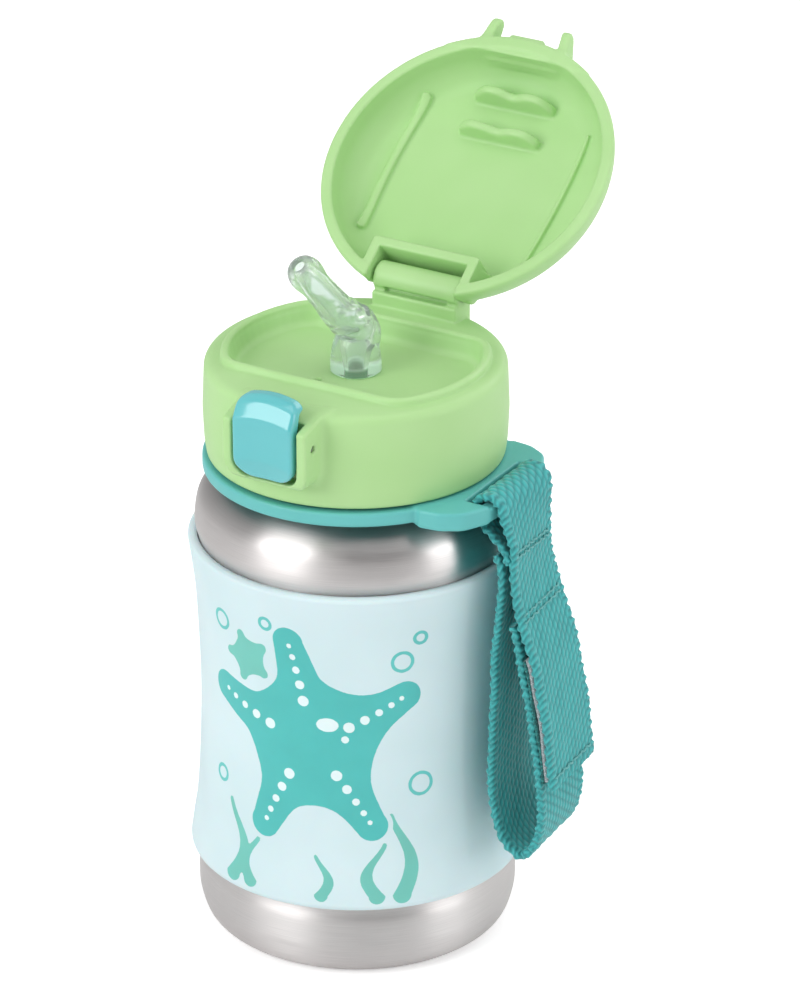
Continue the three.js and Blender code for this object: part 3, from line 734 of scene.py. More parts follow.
def steel_bottle():
    """The outer wall, the inner wall with its rolled lip, and the disc under the base."""
    outer = smooth_line(SHELL_LINE, 0.7)
    wall = outer + normals_of(outer) * 0.8
    outline = np.vstack([outer, wall[::-1]])
    shell = lathe("bottle_shell", outline, 192, neck_thread)
    dress(shell, STEEL, "steel_shell", "bottle", "outer_shell")

    lip = NECK_TOP + GAP
    liner_line = [(0.02, 4), (26, 4), (29.6, 5.4), (31, 9.5), (31, 50), (31, 98), (29.9, 103), (27.3, 107)]
    liner_line = smooth_line(liner_line + [(25.95, 110.6), (25.85, 113), (25.85, 120), (25.85, lip)], 1.5)
    inner = liner_line + normals_of(liner_line) * 0.7
    rolled = [(27, lip), (27.05, lip + 0.35), (26.9, lip + 0.68), (26.3, lip + 0.7)]
    liner = lathe("bottle_liner", np.vstack([liner_line, rolled, inner[::-1]]), 128)
    dress(liner, LINER, "steel_liner", "bottle", "inner_liner")

    rings = [(20, 1.2), (28.6, 1.2), (29, 0.9), (29, 0.2), (28.8, 0), (24, 0), (23.4, 0.4)]
    cap = disc_stack("bottle_base", rings + [(22.8, 0.5), (6, 0.5), (5.4, 0.3), (4.8, 0.25)])
    dress(cap, STEEL, "steel_shell", "bottle", "base_cap")


steel_bottle()


# ---- sleeve and its print ----
PRINT_AZIMUTH = math.radians(13)
PRINT_Z = 56


def arm_distance(u, v, angle, length, root, tip, curl):
    """A tapered arm of a star from its middle, bending by curl towards its tip."""
    c, s = math.cos(angle), math.sin(angle)
    along, across = u * c + v * s, -u * s + v * c
    t = np.clip(along / length, 0, 1)
    width = root + (tip - root) * t**0.7
    return np.hypot(along - t * length, across - curl * t**2) - width


def star(u, v, length, turn, curls, root, tip, web):
    arms = None
    for k, curl in enumerate(curls):
        arm = arm_distance(u, v, math.radians(90 + 72 * k + turn), length, root, tip, curl)
        arms = arm if arms is None else merge(arms, arm, web)
    return arms


NO_PRINT = 50.0  # a distance away from all print
STAR_ARM = 24.5
STAR_CURLS = (2.5, -2, 2, -2.5, 2)
STAR_TURN = 5
STAR_UP = 3
WEED_FOOT = -34
# Bubbles: (across, up, radius). Weeds: (across, height, sway, half width at the foot).
BUBBLES = [(-23.5, 27, 2.2), (-10, 30.5, 1.4), (21, 23, 2.3)]
BUBBLES += [(25, 28.5, 1.4), (-25, -12, 1.8), (25.5, -8, 2.6)]
WEEDS = [(-19, 17, 2.6, 2.0), (-14, 11, -2.0, 1.8), (3, 9, 1.6, 1.5)]
WEEDS += [(15, 12, -2.2, 1.8), (20.5, 19, 2.4, 2.1)]
DOTS = [(10, 1.3), (14, 1.1), (17.6, 0.9), (20.8, 0.75), (23.5, 0.6)]  # (place along an arm, radius)


def sea_print(u, v):
    """Distances to the print's inks: a sea star, weed and a small star behind it, pale dots, bubbles."""
    body = star(u, v - STAR_UP, STAR_ARM, STAR_TURN, STAR_CURLS, 8.6, 3.6, 9)
    shade = star(u + 15.5, v - 20.5, 5.4, 20, (0, 0, 0, 0, 0), 2.2, 1.1, 3)
    for base, height, sway, width in WEEDS:
        t = np.clip((v - WEED_FOOT) / height, 0, 1)
        swing = sway * np.sin(4.2 * t)
        blade = np.hypot(u - base - swing, v - WEED_FOOT - t * height) - width * (1 - 0.7 * t)
        shade = merge(shade, blade, 0.6)
    shade = np.maximum(shade, 1.1 - body)
    light = np.full(u.shape, NO_PRINT)
    for k, curl in enumerate(STAR_CURLS):
        angle = math.radians(90 + 72 * k + STAR_TURN)
        for step, size in DOTS:
            bend = curl * (step / STAR_ARM) ** 2
            at_u = step * math.cos(angle) - bend * math.sin(angle)
            at_v = STAR_UP + step * math.sin(angle) + bend * math.cos(angle)
            light = np.minimum(light, np.hypot(u - at_u, v - at_v) - size)
    gloss = (((u - 4.2) / 1.5) ** 2 + (v - 7.6) ** 2) ** 0.5 - 1.7
    light = np.minimum(light, np.minimum(gloss, np.hypot(u - 8.2, v - 4.2) - 0.9))
    bubble = np.full(u.shape, NO_PRINT)
    for at_u, at_v, size in BUBBLES:
        away = np.hypot(u - at_u, v - at_v) - size
        bubble = np.where(np.abs(away) < np.abs(bubble), away, bubble)
    return {"print_body": body, "print_shade": shade, "print_light": light, "print_bubble": bubble}


def grip_sleeve():
    outer = smooth_line([(37.7, 20), (37.2, 23.5), (35.9, 34), (35.1, 57), (35.9, 80), (37.1, 91)], 0.5)
    inner = smooth_line([(35.6, 95.5), (35.2, 90.5), (34.05, 80), (33.35, 57), (34.05, 34), (35.45, 18.5)], 2)
    bottom_edge = smooth_line([(35.6, 18.45), (36.9, 18.5), (37.45, 18.8), (37.7, 19.5), (37.7, 20)], 0.25)
    top_edge = smooth_line([(37.1, 91), (37.55, 94), (37.6, 94.7), (37.3, 95.25), (36.6, 95.5)], 0.25)
    outline = np.vstack([bottom_edge[:-1], outer, top_edge[1:], inner[:-1]])
    front = PRINT_AZIMUTH - math.pi / 2
    fine = np.radians(np.arange(-52, 52, 0.7))
    angle = front + np.concatenate([fine, np.radians(np.arange(52, 308, 2.0))])
    sleeve = lathe("sleeve", outline, angle=angle)
    points = np.zeros(len(sleeve.data.vertices) * 3)
    sleeve.data.vertices.foreach_get("co", points)
    x, y, z = points.reshape(-1, 3).T / MM
    around = np.arctan2(x, -y) - PRINT_AZIMUTH
    around = (around + math.pi) % TAU - math.pi
    outside = np.hypot(x, y) > np.interp(z, [18, 34, 57, 80, 96], [36.5, 34.9, 34.2, 34.9, 36.5])
    for name, away in sea_print(around * 35.6, z - PRINT_Z).items():
        keep_value(sleeve, name, np.where(outside, away, 5))
    dress(sleeve, SLEEVE, "sleeve_silicone", "bottle", "grip_sleeve")


grip_sleeve()


# ---- lid ----
def recess_outline():
    """A disc cut by two chords, its four corners rounded."""
    outline = []
    for chord in (RECESS_FRONT, RECESS_BACK):
        y = chord - math.copysign(RECESS_CORNER, chord)
        x = math.sqrt((RECESS_R - RECESS_CORNER) ** 2 - y**2)
        across = math.atan2(y, x)
        down = math.copysign(math.pi / 2, chord)
        for side in (1, -1):
            for t in np.linspace(0, 1, 8):
                angle = across + (down - across) * (t if side * chord > 0 else 1 - t)
                c, s = math.cos(angle), math.sin(angle)
                outline.append((side * (x + RECESS_CORNER * c), y + RECESS_CORNER * s))
    points = np.array(outline)
    points = points[np.argsort(np.arctan2(points[:, 1], points[:, 0]))]
    filled = []
    for a, b in zip(points, np.roll(points, -1, axis=0)):
        filled.append(a)
        at_end_arc = np.linalg.norm(b - a) > 6 and abs(a[1] - b[1]) > 6
        if at_end_arc:
            start, end = math.atan2(a[1], a[0]), math.atan2(b[1], b[0])
            sweep = (end - start) % TAU
            for t in np.linspace(0, 1, 14)[1:-1]:
                angle = start + sweep * t
                filled.append((RECESS_R * math.cos(angle), RECESS_R * math.sin(angle)))
    return np.array(filled)


RECESS = Flat(recess_outline())
LID_SECTION = outlined(
    (-5, LID_CEILING), (28.5, LID_CEILING, 1.2), (28.5, 117), (30.2, 117), (30.2, 130.6), (31.3, 130.6),
    (31.3, LID_BOTTOM), (33.15, LID_BOTTOM, 0.7), (33.65, 119, 20), (33.95, 126, 20), (33.5, 137.2, 2.1),
    (27, 137.75, 30), (-5, LID_TOP),
)


def upright(half, bottom, radius):
    """A wide upright with two round lower corners."""
    return outlined((-half, bottom, radius), (half, bottom, radius), (half, OVER_ALL), (-half, OVER_ALL))


HOUSING = upright(EAR_OUTER, HOUSING_BOTTOM, 5.2)
POCKET = upright(EAR_INNER, HOUSING_BOTTOM + 1.35, 4.2)
HOUSING_SIDE = outlined(
    (-28, HOUSING_BOTTOM + 1.5), (-33, HOUSING_BOTTOM + 1.2, 2), (-36.4, HOUSING_BOTTOM, 1.5),
    (-38.7, HOUSING_BOTTOM + 1.8, 2.2), (HOUSING_FRONT, HOUSING_BOTTOM + 5.5, 4),
    (HOUSING_FRONT, 135.6, 0.8), (-37.4, 136.2, 2), (-33, 137.3, 4), (-28, 137.4),
)


def lid_field(x, y, z):
    """The cap with its latch housing, beaded recess, hinge knuckle, holes and thread."""
    radius = np.hypot(x, y)
    body = LID_SECTION(radius, z)
    housing = np.maximum(prism(HOUSING(x, z), y, HOUSING_FRONT, -28, 0.5), HOUSING_SIDE(y, z))
    housing = np.maximum(housing, 30 - radius)  # none of it inside the cap
    body = merge(body, housing, 1.5)
    pocket = prism(POCKET(x, z), y + 0.45 * np.clip(z - 133, 0, 4), -60, POCKET_Y, 0.2)
    body = carve(body, pocket, 0.35)
    plan = RECESS(x, y)
    bead = np.hypot(plan, z - LID_TOP - 0.05) - BEAD_R
    body = merge(body, bead, 0.45)
    drop = plan + 1.0 + 0.24 * np.clip(LID_TOP - z, 0, 5)
    body = carve(body, prism(drop, z, RECESS_FLOOR, OVER_ALL, 1.3), 0.4)
    across = (-BARREL_HALF, BARREL_HALF)
    knuckle = block(x, y, z, across, (25.2, 32.2), (LID_TOP - 3, 141.1), 0.22)
    web = block(x, y, z, across, (26.6, 31.4), (139, HINGE_Z), 0.3)
    barrel = rod_x(x, y, z, across, BARREL_R, HINGE_Y, HINGE_Z, 0.5)
    upper = merge(web, barrel, 0.5)
    hollow = block(x, y, z, (-7.9, 7.9), (15, 27.4), (140.6, HINGE_Z - 1), 0.2)
    front = block(x, y, z, (-20, 20), (15, 26.2), (140, HINGE_Z - 1.2), 0.2)
    upper = carve(carve(upper, hollow, 0.2), front, 0.2)
    body = merge(body, merge(knuckle, upper, 0.2), 0.5)
    body = carve(body, rod_x(x, y, z, (-30, 30), HINGE_PIN_R + GAP, HINGE_Y, HINGE_Z), 0.1)
    pin_hole = rod_x(x, y, z, (-30, 30), 0.85, BUTTON_PIN_Y, BUTTON_PIN_Z)
    body = carve(body, pin_hole, 0.15)
    spout_hole = prism(radius - SPOUT_HOLE_R, z, 120, OVER_ALL)
    vent = prism(np.hypot(x - VENT[0], y - VENT[1]) - VENT_R, z, 120, OVER_ALL)
    dimple = np.sqrt((x - VENT[0]) ** 2 + (y - VENT[1]) ** 2 + (z - 135.0) ** 2) - 1.35
    vent = merge(vent, dimple, 0.3)
    body = carve(carve(body, spout_hole, 0.3), vent, 0.2)
    thread = helix_distance(x, y, z, 28.6, NECK_THREAD_Z + THREAD_PITCH / 2) - 0.9
    return merge(body, thread, 0.3)


shell = moulded("lid_shell", lid_field, (-35.5, -41, 114), (35.5, 35.5, 149), 0.5)
dress(shell, GREEN, "lid_plastic", "lid", "lid_base")


# ---- cover, shaped closed and then opened about its hinge ----
# The dish's section, (radius, height over the rim face), from the rim to past the axis.
INSIDE_LINE = [(31.7, 0.4), (31.5, 2.2), (31, 4.6), (29.6, 6.9), (27.2, 8.7)]
INSIDE_LINE += [(23.5, 9.45), (15, 9.6), (-6, 9.65)]
OUTSIDE_LINE = [(34.4, 0.6), (34.35, 1.7), (33.7, 3.9), (32.4, 6.4), (30.4, 8.7)]
OUTSIDE_LINE += [(27.6, 10.3), (23, 11.3), (16, 11.6), (-6, 11.65)]
INSIDE_LINE = smooth_line(INSIDE_LINE, 0.6) + (0, RIM_Z)
OUTSIDE_LINE = smooth_line(OUTSIDE_LINE, 0.6) + (0, RIM_Z)
RIM_FACE = np.array([(31.85, 0.06), (32.1, 0), (33.9, 0), (34.25, 0.16)]) + (0, RIM_Z)
COVER_SECTION = Flat(np.vstack([INSIDE_LINE[::-1], RIM_FACE, OUTSIDE_LINE]))
DOME = Flat(np.vstack([[(-6, RIM_Z), (33.9, RIM_Z)], OUTSIDE_LINE]))
CHORD_Y = -29.9  # the flat that cuts the dish off at the front
EYE_R = 1.9
COVER_STEP = 0.48
HORN = outlined(
    (-28, RIM_Z), (-37.7, RIM_Z, 0.5), (-38.6, RIM_Z + 0.6, 0.5), (-38.5, 140.3, 1), (-36, 142.0, 2),
    (-33.4, 143.6, 2), (-28, 145.4),
)
CATCH = outlined(
    (-29, RIM_Z + 0.6), (-35.3, RIM_Z + 0.6, 0.3), (-35.3, RIM_Z + 1.9, 0.4), (-29, RIM_Z + 3.8)
)


def wavy_rib(x, y, z, at_y, tops):
    """A fin across the ceiling whose edge dips in the middle, where the folded spout lies."""
    stations = smooth_line(np.stack([np.linspace(-11, 11, len(tops)), tops], 1), 0.4)
    edge = np.interp(x, stations[:, 0], stations[:, 1])
    fin = prism(np.abs(y - at_y - 0.12 * (z - 145)) - 1.05, x, -10.2, 10.2, 0.8)
    return np.maximum(-merge(-fin, z - edge, 0.9), z - 148.5)


def side_rib(x, y, dish, start, end, bow, width, height):
    """A low rib along the ceiling, as high everywhere."""
    (x0, y0), (x1, y1) = start, end
    t = np.clip((y - y0) / (y1 - y0), 0, 1)
    at_x = x0 + (x1 - x0) * t + bow * np.sin(math.pi * t)
    flat = np.hypot(x - at_x, y - (y0 + (y1 - y0) * t)) - width / 2
    return -merge(-flat, height - dish, 0.5)


def cover_field(x, y, z):
    """The shut cover: its dish, front wall, horns, catch, ribs, hinge frame and eyes."""
    radius = np.hypot(x, y)
    dome = DOME(radius, z)
    dish = COVER_SECTION(radius, z)
    wall = np.maximum(np.maximum(dome + 0.3, y - CHORD_Y), RIM_Z + 0.3 - z)
    body = merge(dish, wall, 1.4)
    for side in (-1, 1):
        lean = np.clip(-33 - y, 0, 6) * 0.16
        horn = prism(HORN(y, z), x * side - 9.8 + lean, -1.15, 1.15, 0.45)
        body = merge(body, np.maximum(horn, y - CHORD_Y + 0.3), 0.8)
    body = merge(body, np.maximum(prism(CATCH(y, z), x, -4.3, 4.3, 0.3), y - CHORD_Y + 0.3), 0.4)
    shelf = block(x, y, z, (-9.4, 9.4), (-33.8, -29.5), (141.2, 144.2), 0.6)
    body = merge(body, shelf, 0.8)
    body = merge(body, wavy_rib(x, y, z, -22.4, (146.2, 142.9, 142.6, 143.9, 142.7, 143.2, 146.6)), 0.8)
    body = merge(body, wavy_rib(x, y, z, -13.3, (145.9, 143.3, 143.4, 144.2, 143.2, 143.5, 146.4)), 0.8)
    above = np.maximum(dome + 0.4, 0) * 4
    left = side_rib(x, y, dish, (-20.9, -18.5), (-22.1, 16.5), -1.2, 1.9, 1.3)
    right = side_rib(x, y, dish, (20.9, -17.5), (19.3, 18.8), 0.7, 1.0, 1.0)
    body = merge(merge(body, left + above, 0.5), right + above, 0.4)
    bar = block(x, y, z, (-13.4, 13.4), (21.9, 24.3), (RIM_Z, 148), 0.35)
    gusset = np.maximum(np.abs(x) - 13.3 - 0.36 * (z - 139.5), 21.9 - y + 0.3 * (146.5 - z))
    gusset = np.maximum(np.maximum(gusset, y - 29), 139.5 - z)
    for side in (-1, 1):
        bar = np.minimum(bar, block(x * side, y, z, (NOTCH_HALF, 13.5), (22, 31), (RIM_Z, 147), 0.35))
    body = merge(body, np.maximum(merge(bar, gusset, 0.5), dome + 0.3), 0.5)
    notch = block(x, y, z, (-NOTCH_HALF, NOTCH_HALF), (24.3, 45), (125, 145.6), 0.2)
    outlet = block(x, y, z, (-NOTCH_HALF, NOTCH_HALF), (27.6, 45), (125, 160), 0.2)
    body = carve(carve(body, notch, 0.3), outlet, 0.3)
    for side in (-1, 1):
        eye = rod_x(x * side, y, z, (NOTCH_HALF, 13.6), EYE_R, HINGE_Y, HINGE_Z, 0.4)
        body = merge(body, eye, 0.5)
    body = carve(body, rod_x(x, y, z, (-NOTCH_HALF, NOTCH_HALF), BARREL_R + GAP, HINGE_Y, HINGE_Z), 0.2)
    return carve(body, rod_x(x, y, z, (-13.4, 13.4), HINGE_PIN_R + GAP, HINGE_Y, HINGE_Z), 0.1)


def opened(points):
    """Turns the closed cover's points back about the hinge."""
    angle = math.radians(-COVER_OPEN)
    y, z = points[:, 1] - HINGE_Y, points[:, 2] - HINGE_Z
    c, s = math.cos(angle), math.sin(angle)
    return np.stack([points[:, 0], HINGE_Y + y * c - z * s, HINGE_Z + y * s + z * c], 1)


points, faces = net(cover_field, (-35.5, -40, 136.5), (35.5, 35.5, 151), COVER_STEP)
points = settle(cover_field, points, faces, COVER_STEP)
shell = piece("cover_shell", opened(points), faces)
dress(shell, GREEN, "lid_plastic", "cover", "flip_cover")


# ---- latch button ----
BUTTON_HALF = 7.7
BUTTON_FRONT = outlined(
    (-BUTTON_HALF, 122.5, 5), (BUTTON_HALF, 122.5, 5), (BUTTON_HALF, 140.9, 3.6), (0, 142.7, 20),
    (-BUTTON_HALF, 140.9, 3.6),
)
BUTTON_SIDE = outlined(
    (-37.6, 122.45, 0.6), (-38.7, 122.5, 1.2), (-40.35, 127.6, 5), (-40.5, 137.5, 0.8), (-38.6, 140.9, 3),
    (-36.8, 142.1, 1.2), (-34.4, 142.0, 0.4), (-34.4, 140.4, 0.3), (-36.2, 139.8, 0.8), (-37.2, 136, 3),
)


def button_field(x, y, z):
    """The button: a bowed key with two arms round its pin."""
    body = prism(BUTTON_SIDE(y, z + 0.022 * x**2), x, -BUTTON_HALF, BUTTON_HALF, 1.0)
    body = -merge(-body, -BUTTON_FRONT(x, z), 0.7)
    for side in (-1, 1):
        span = (3.4, 7.6)
        hub = rod_x(x * side, y, z, span, 1.7, BUTTON_PIN_Y, BUTTON_PIN_Z)
        arm_height = (BUTTON_PIN_Z - 1.3, BUTTON_PIN_Z + 1.3)
        arm = block(x * side, y, z, span, (-38.8, BUTTON_PIN_Y), arm_height, 0.2)
        body = merge(body, merge(hub, arm, 0.3), 0.3)
    return carve(body, rod_x(x, y, z, (-20, 20), BUTTON_PIN_R + GAP, BUTTON_PIN_Y, BUTTON_PIN_Z), 0.1)


key = moulded("button", button_field, (-8.8, -41.6, 120.5), (8.8, -33, 143.5), 0.3)
dress(key, BUTTON, "button_plastic", "button", "latch_button")


# ---- pins and springs ----
def pin(name, node):
    """A round pin along X with domed ends, as long and thick as its CAD node."""
    low, high = (np.array(c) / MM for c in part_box(node))
    (_, y, z), half, radius = (low + high) / 2, (high[0] - low[0]) / 2, (high[2] - low[2]) / 2
    path = [(x, y, z) for x in np.linspace(radius - half, half - radius, 24)]
    dress(piece(name, *tube(path, radius, 20)), WIRE, "spring_steel", "lid", node)


def spring(name, node, radius, turns, at_y, at_z):
    """A torsion spring wound round a pin along X."""
    wire = 0.25
    t = np.linspace(0, 1, round(turns * 28))
    angle = t * turns * TAU
    along = wire * 2.6 * turns * (t - 0.5)
    path = np.stack([along, at_y + radius * np.sin(angle), at_z - radius * np.cos(angle)], 1)
    dress(piece(name, *tube(path, wire, 8)), WIRE, "spring_steel", "lid", node)


pin("cover_pin", "hinge_pin")
pin("latch_pin", "button_pin")
spring("cover_spring", "hinge_spring", 1.3, 8, HINGE_Y, HINGE_Z)
spring("latch_spring", "button_spring", 1.35, 5, BUTTON_PIN_Y, BUTTON_PIN_Z)


# ---- seals, straw and spout ----
def small_silicone():
    """The gasket, the straw and the valve behind the vent."""
    washer = rounded([(24.4, 130.4, 0.3), (28.1, 130.4, 0.3), (28.1, 131.35, 0.3), (24.4, 131.35, 0.3)], 3)
    dress(lathe("lid_seal", washer, 96), SEAL, "clear_silicone", "straw_set", "lid_gasket")
    wall = [(2.5, z) for z in np.linspace(13, 129.2, 60)]
    outer = [(3.3, z) for z in np.linspace(129.2, 13, 60)]
    straw = lathe("straw", np.array(wall + outer), 40)
    dress(straw, SEAL, "clear_silicone", "straw_set", "straw_tube")
    stem = [(0.3, 133.4), (0.7, 133.2), (0.7, 131.35), (2.2, 131.3), (2.4, 131)]
    valve = disc_stack("vent_plug", stem + [(2.4, 130.2), (1.7, 129.6), (0.8, 127.2), (0.5, 127)], 32)
    valve.data.transform(Matrix.Translation((VENT[0] * MM, VENT[1] * MM, 0)))
    dress(valve, SEAL, "clear_silicone", "lid", "vent_valve")


small_silicone()

SPOUT_PIVOT = np.array([0, 0, 143.2])
SPOUT_WAY = np.array([-4.5, -14, 18])
SPOUT_WAY = SPOUT_WAY / np.linalg.norm(SPOUT_WAY)
SPOUT_LENGTH = 23.2


def spout():
    """One silicone moulding: a foot in the lid, an upright root, a creased bend and a ball tip."""
    along_tip = [SPOUT_PIVOT + SPOUT_WAY * d for d in (7.5, 13, 19, 24, SPOUT_LENGTH + 3.2)]
    knee = SPOUT_PIVOT + np.array([0.3, 0.7, 0.6])
    line = smooth_line([(0, 0, 121), (0, 0, 128), (0, 0, 134), (0, 0, 139), knee, *along_tip], 0.25)
    s = way_along(line)
    end = s[-1]
    stations = [
        (0, 5.0), (8.8, 5.0), (9.6, 7.0), (10.2, 7.0), (10.5, 4.45), (12.9, 4.6), (13.1, 5.75), (15.5, 5.7),
        (18.5, 5.3), (21.5, 4.75), (24, 4.45), (28, 4.35), (32, 3.95), (36, 3.6), (end - 8.6, 3.4),
        (end - 7, 3.45), (end - 5.2, 3.85), (end - 3.4, 4.0), (end - 1.8, 3.7), (end - 0.8, 3.1),
        (end - 0.2, 2.4), (end, 1.8),
    ]
    radius = np.interp(s, *zip(*stations))
    smooth = np.convolve(np.pad(radius, 4, "edge"), np.ones(9) / 9, "valid")
    radius = np.where((s > 14) & (s < end - 1.5), smooth, radius)
    bore_at = [0, 8, 10, 13, 20, 24, 32, end - 4, end]
    bore = np.interp(s, bore_at, [3.65, 3.65, 1.8, 1.8, 2.9, 2.4, 2.0, 1.6, 1.6])
    sides = 72
    angle = circle(sides)
    ring = spokes(line, [0.952, -0.306, 0.0], sides)
    bend = np.exp(-(((s - 26) / 4.5) ** 2))
    crease = (
        0.2 * np.sin(1.35 * s[:, None] + 1.6 * np.sin(angle) + 2 * angle)
        + 0.16 * np.sin(1.9 * s[:, None] - 3 * angle + 0.8)
        + 0.1 * np.sin(0.9 * s[:, None] + 5 * angle)
    )
    outer = radius[:, None] + bend[:, None] * crease
    inner = bore[:, None] * (1 + 0.1 * bend[:, None] * np.sin(3 * angle + 1.2 * s[:, None]))
    outside = line[:, None] + ring * outer[:, :, None]
    inside = line[:, None] + ring * inner[:, :, None]
    points = np.concatenate([outside, inside[::-1]]).reshape(-1, 3)
    made = piece("spout", points, grid_faces(2 * len(line), sides)[:, ::-1])
    # painted shade: the bore is painted dark below 13.4 mm along its line, and the neck inside the lid is
    # shut
    in_bore = np.concatenate([0 * s, np.interp(s[::-1], [13.4, 14.4], [1, 0])])
    # painted glow: the neck inside the lid, from 10.2 to 12.9 mm along the line, is lit by emission
    in_lid = np.interp(s, [9.8, 10.2, 12.9, 13.2], [0, 1, 1, 0])
    keep_value(made, "painted_depth_shade", np.repeat(in_bore, sides))
    keep_value(made, "shut", np.repeat(np.maximum(in_bore, np.concatenate([in_lid, 0 * s])), sides))
    dress(made, SPOUT, "clear_silicone", None, "spout_root", "spout_tip")
    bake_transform(made)


spout()


# ---- strap ring ----
RING_R = 29
RING_SECTION = outlined((RING_R, 111.3, 0.4), (34.15, 111.3, 0.8), (34.15, 114.6, 0.6), (RING_R, 114.6, 0.3))
HALF_LUG = [(24, 18.5, 0.1), (28.3, 21.3, 0.8), (33, 20.8, 6), (37.6, 18.2, 5), (40.7, 12, 5), (41.3, 9, 4)]
LUG = outlined(*[(u, -v, r) for u, v, r in HALF_LUG], *HALF_LUG[::-1], steps=8)


def ring_field(x, y, z):
    """The ring, its lug and the crossbar that the strap hangs on."""
    radius = np.hypot(x, y)
    band = RING_SECTION(radius, z)
    lug = prism(LUG(x, y), z, 110.6, 114.9, 0.55)
    body = merge(band, lug, 0.9)
    body = np.maximum(body, RING_R - radius)
    slot = block(x, y, z, (34.6, 37.9), (-11.8, 11.8), (100, 125), 0.6)
    body = carve(body, slot, 0.4)
    for start, end in ((114.4, 125), (100, 111.1)):
        body = carve(body, block(x, y, z, (34.7, 50), (-11.8, 11.8), (start, end), 0.2), 0.3)
    rounding = np.hypot(x - BAR_X, z - BAR_Z) - 2.05
    near_bar = (x > 36.5) & (np.abs(y) < 11.6)
    return np.where(near_bar, np.maximum(body, rounding), body)


ring = moulded("ring", ring_field, (-35.5, -35.5, 109.4), (42.6, 35.5, 116), 0.42)
dress(ring, TEAL, "ring_plastic", "ring", "strap_ring")


# ---- webbing strap ----
INNER_STRAND = [(43.3, 99.8), (42.2, 102.4), (40, 104.8), (37.3, 108.4), (BAR_X - BAR_LOOP_R, BAR_Z)]
OUTER_STRAND = [
    (BAR_X + BAR_LOOP_R, BAR_Z), (43.5, 107.5), (44.3, 103.2), (44.6, 97.8), (45.6, 92), (47.1, 87.2),
]
HANDLE_LINE = [
    (39.9, 101.4), (41.5, 98), (41.9, 94), (41.2, 87), (40.5, 78), (40.3, 69), (40, 59), (39.8, 50),
    (40.2, 41.5), (42.3, 34.6), (45, 31.2), (47.9, 30.1), (50.8, 33.4), (52.2, 39.5), (52.3, 46),
    (51.4, 54), (50, 62.5), (48.2, 72), (46.5, 80), (44.8, 86.6),
]
FLAP_LINE = [(47.7, 85.5), (50.9, 76), (53.2, 64.5), (54.5, 56), (55.3, 48.8)]
LOOP_TAPE_LINE = [(51.9, 49.5), (51.4, 54), (50, 62.5), (48.2, 72), (46.8, 78.5)]
HOOK_TAPE_LINE = [(49.7, 79.6), (50.9, 76), (53.2, 64.5), (54.5, 56), (55.1, 50.6)]


def hung(points):
    """The strap's slight turn as it hangs: its front edge stands a little higher and further out."""
    x, y, z = points.T
    edge = -y / WEB_HALF
    out = edge * np.interp(z, (30, 88, 96, 103, 108, 112), (0.8, 0.9, 1.2, 1.6, 0.8, 0))
    lift = edge * np.interp(z, (92, 99, 104, 108, 112), (0, 1.3, 1.5, 1.0, 0))
    return np.stack([x + out, y, z + lift], 1)


COLUMN = 1.62  # width of a column of grains
RUN = 2.2  # length of a grain
BRAID = 1.55  # length of a link of the edge's chain
LINE_STEP = 0.3  # between the webbing's rows of points
WEB_THICK = 1.5
SELVAGE = 0.55  # radius of the round edge


def weave(across, along):
    """The yarns' height, 0 to 1: slanted grains in columns, each column half a grain from the next."""
    number = np.floor(across / COLUMN)
    side = across / COLUMN - number - 0.5
    run = along / RUN + 0.5 * (number % 2) + 0.42 * side
    grain = run - np.floor(run) - 0.5
    ridge = np.clip(1 - (np.abs(side) / 0.56) ** 2.4, 0, 1)
    return ridge * (0.12 + 0.88 * np.clip(np.cos(grain * math.pi), 0, 1) ** 0.75)


def braid(y, along, face):
    """The edge's chain: strands that cross into arrows round the edge."""
    return 0.5 + 0.5 * np.cos(TAU * along / BRAID + 3.4 * np.abs(face) + 1.2 * np.sign(y))


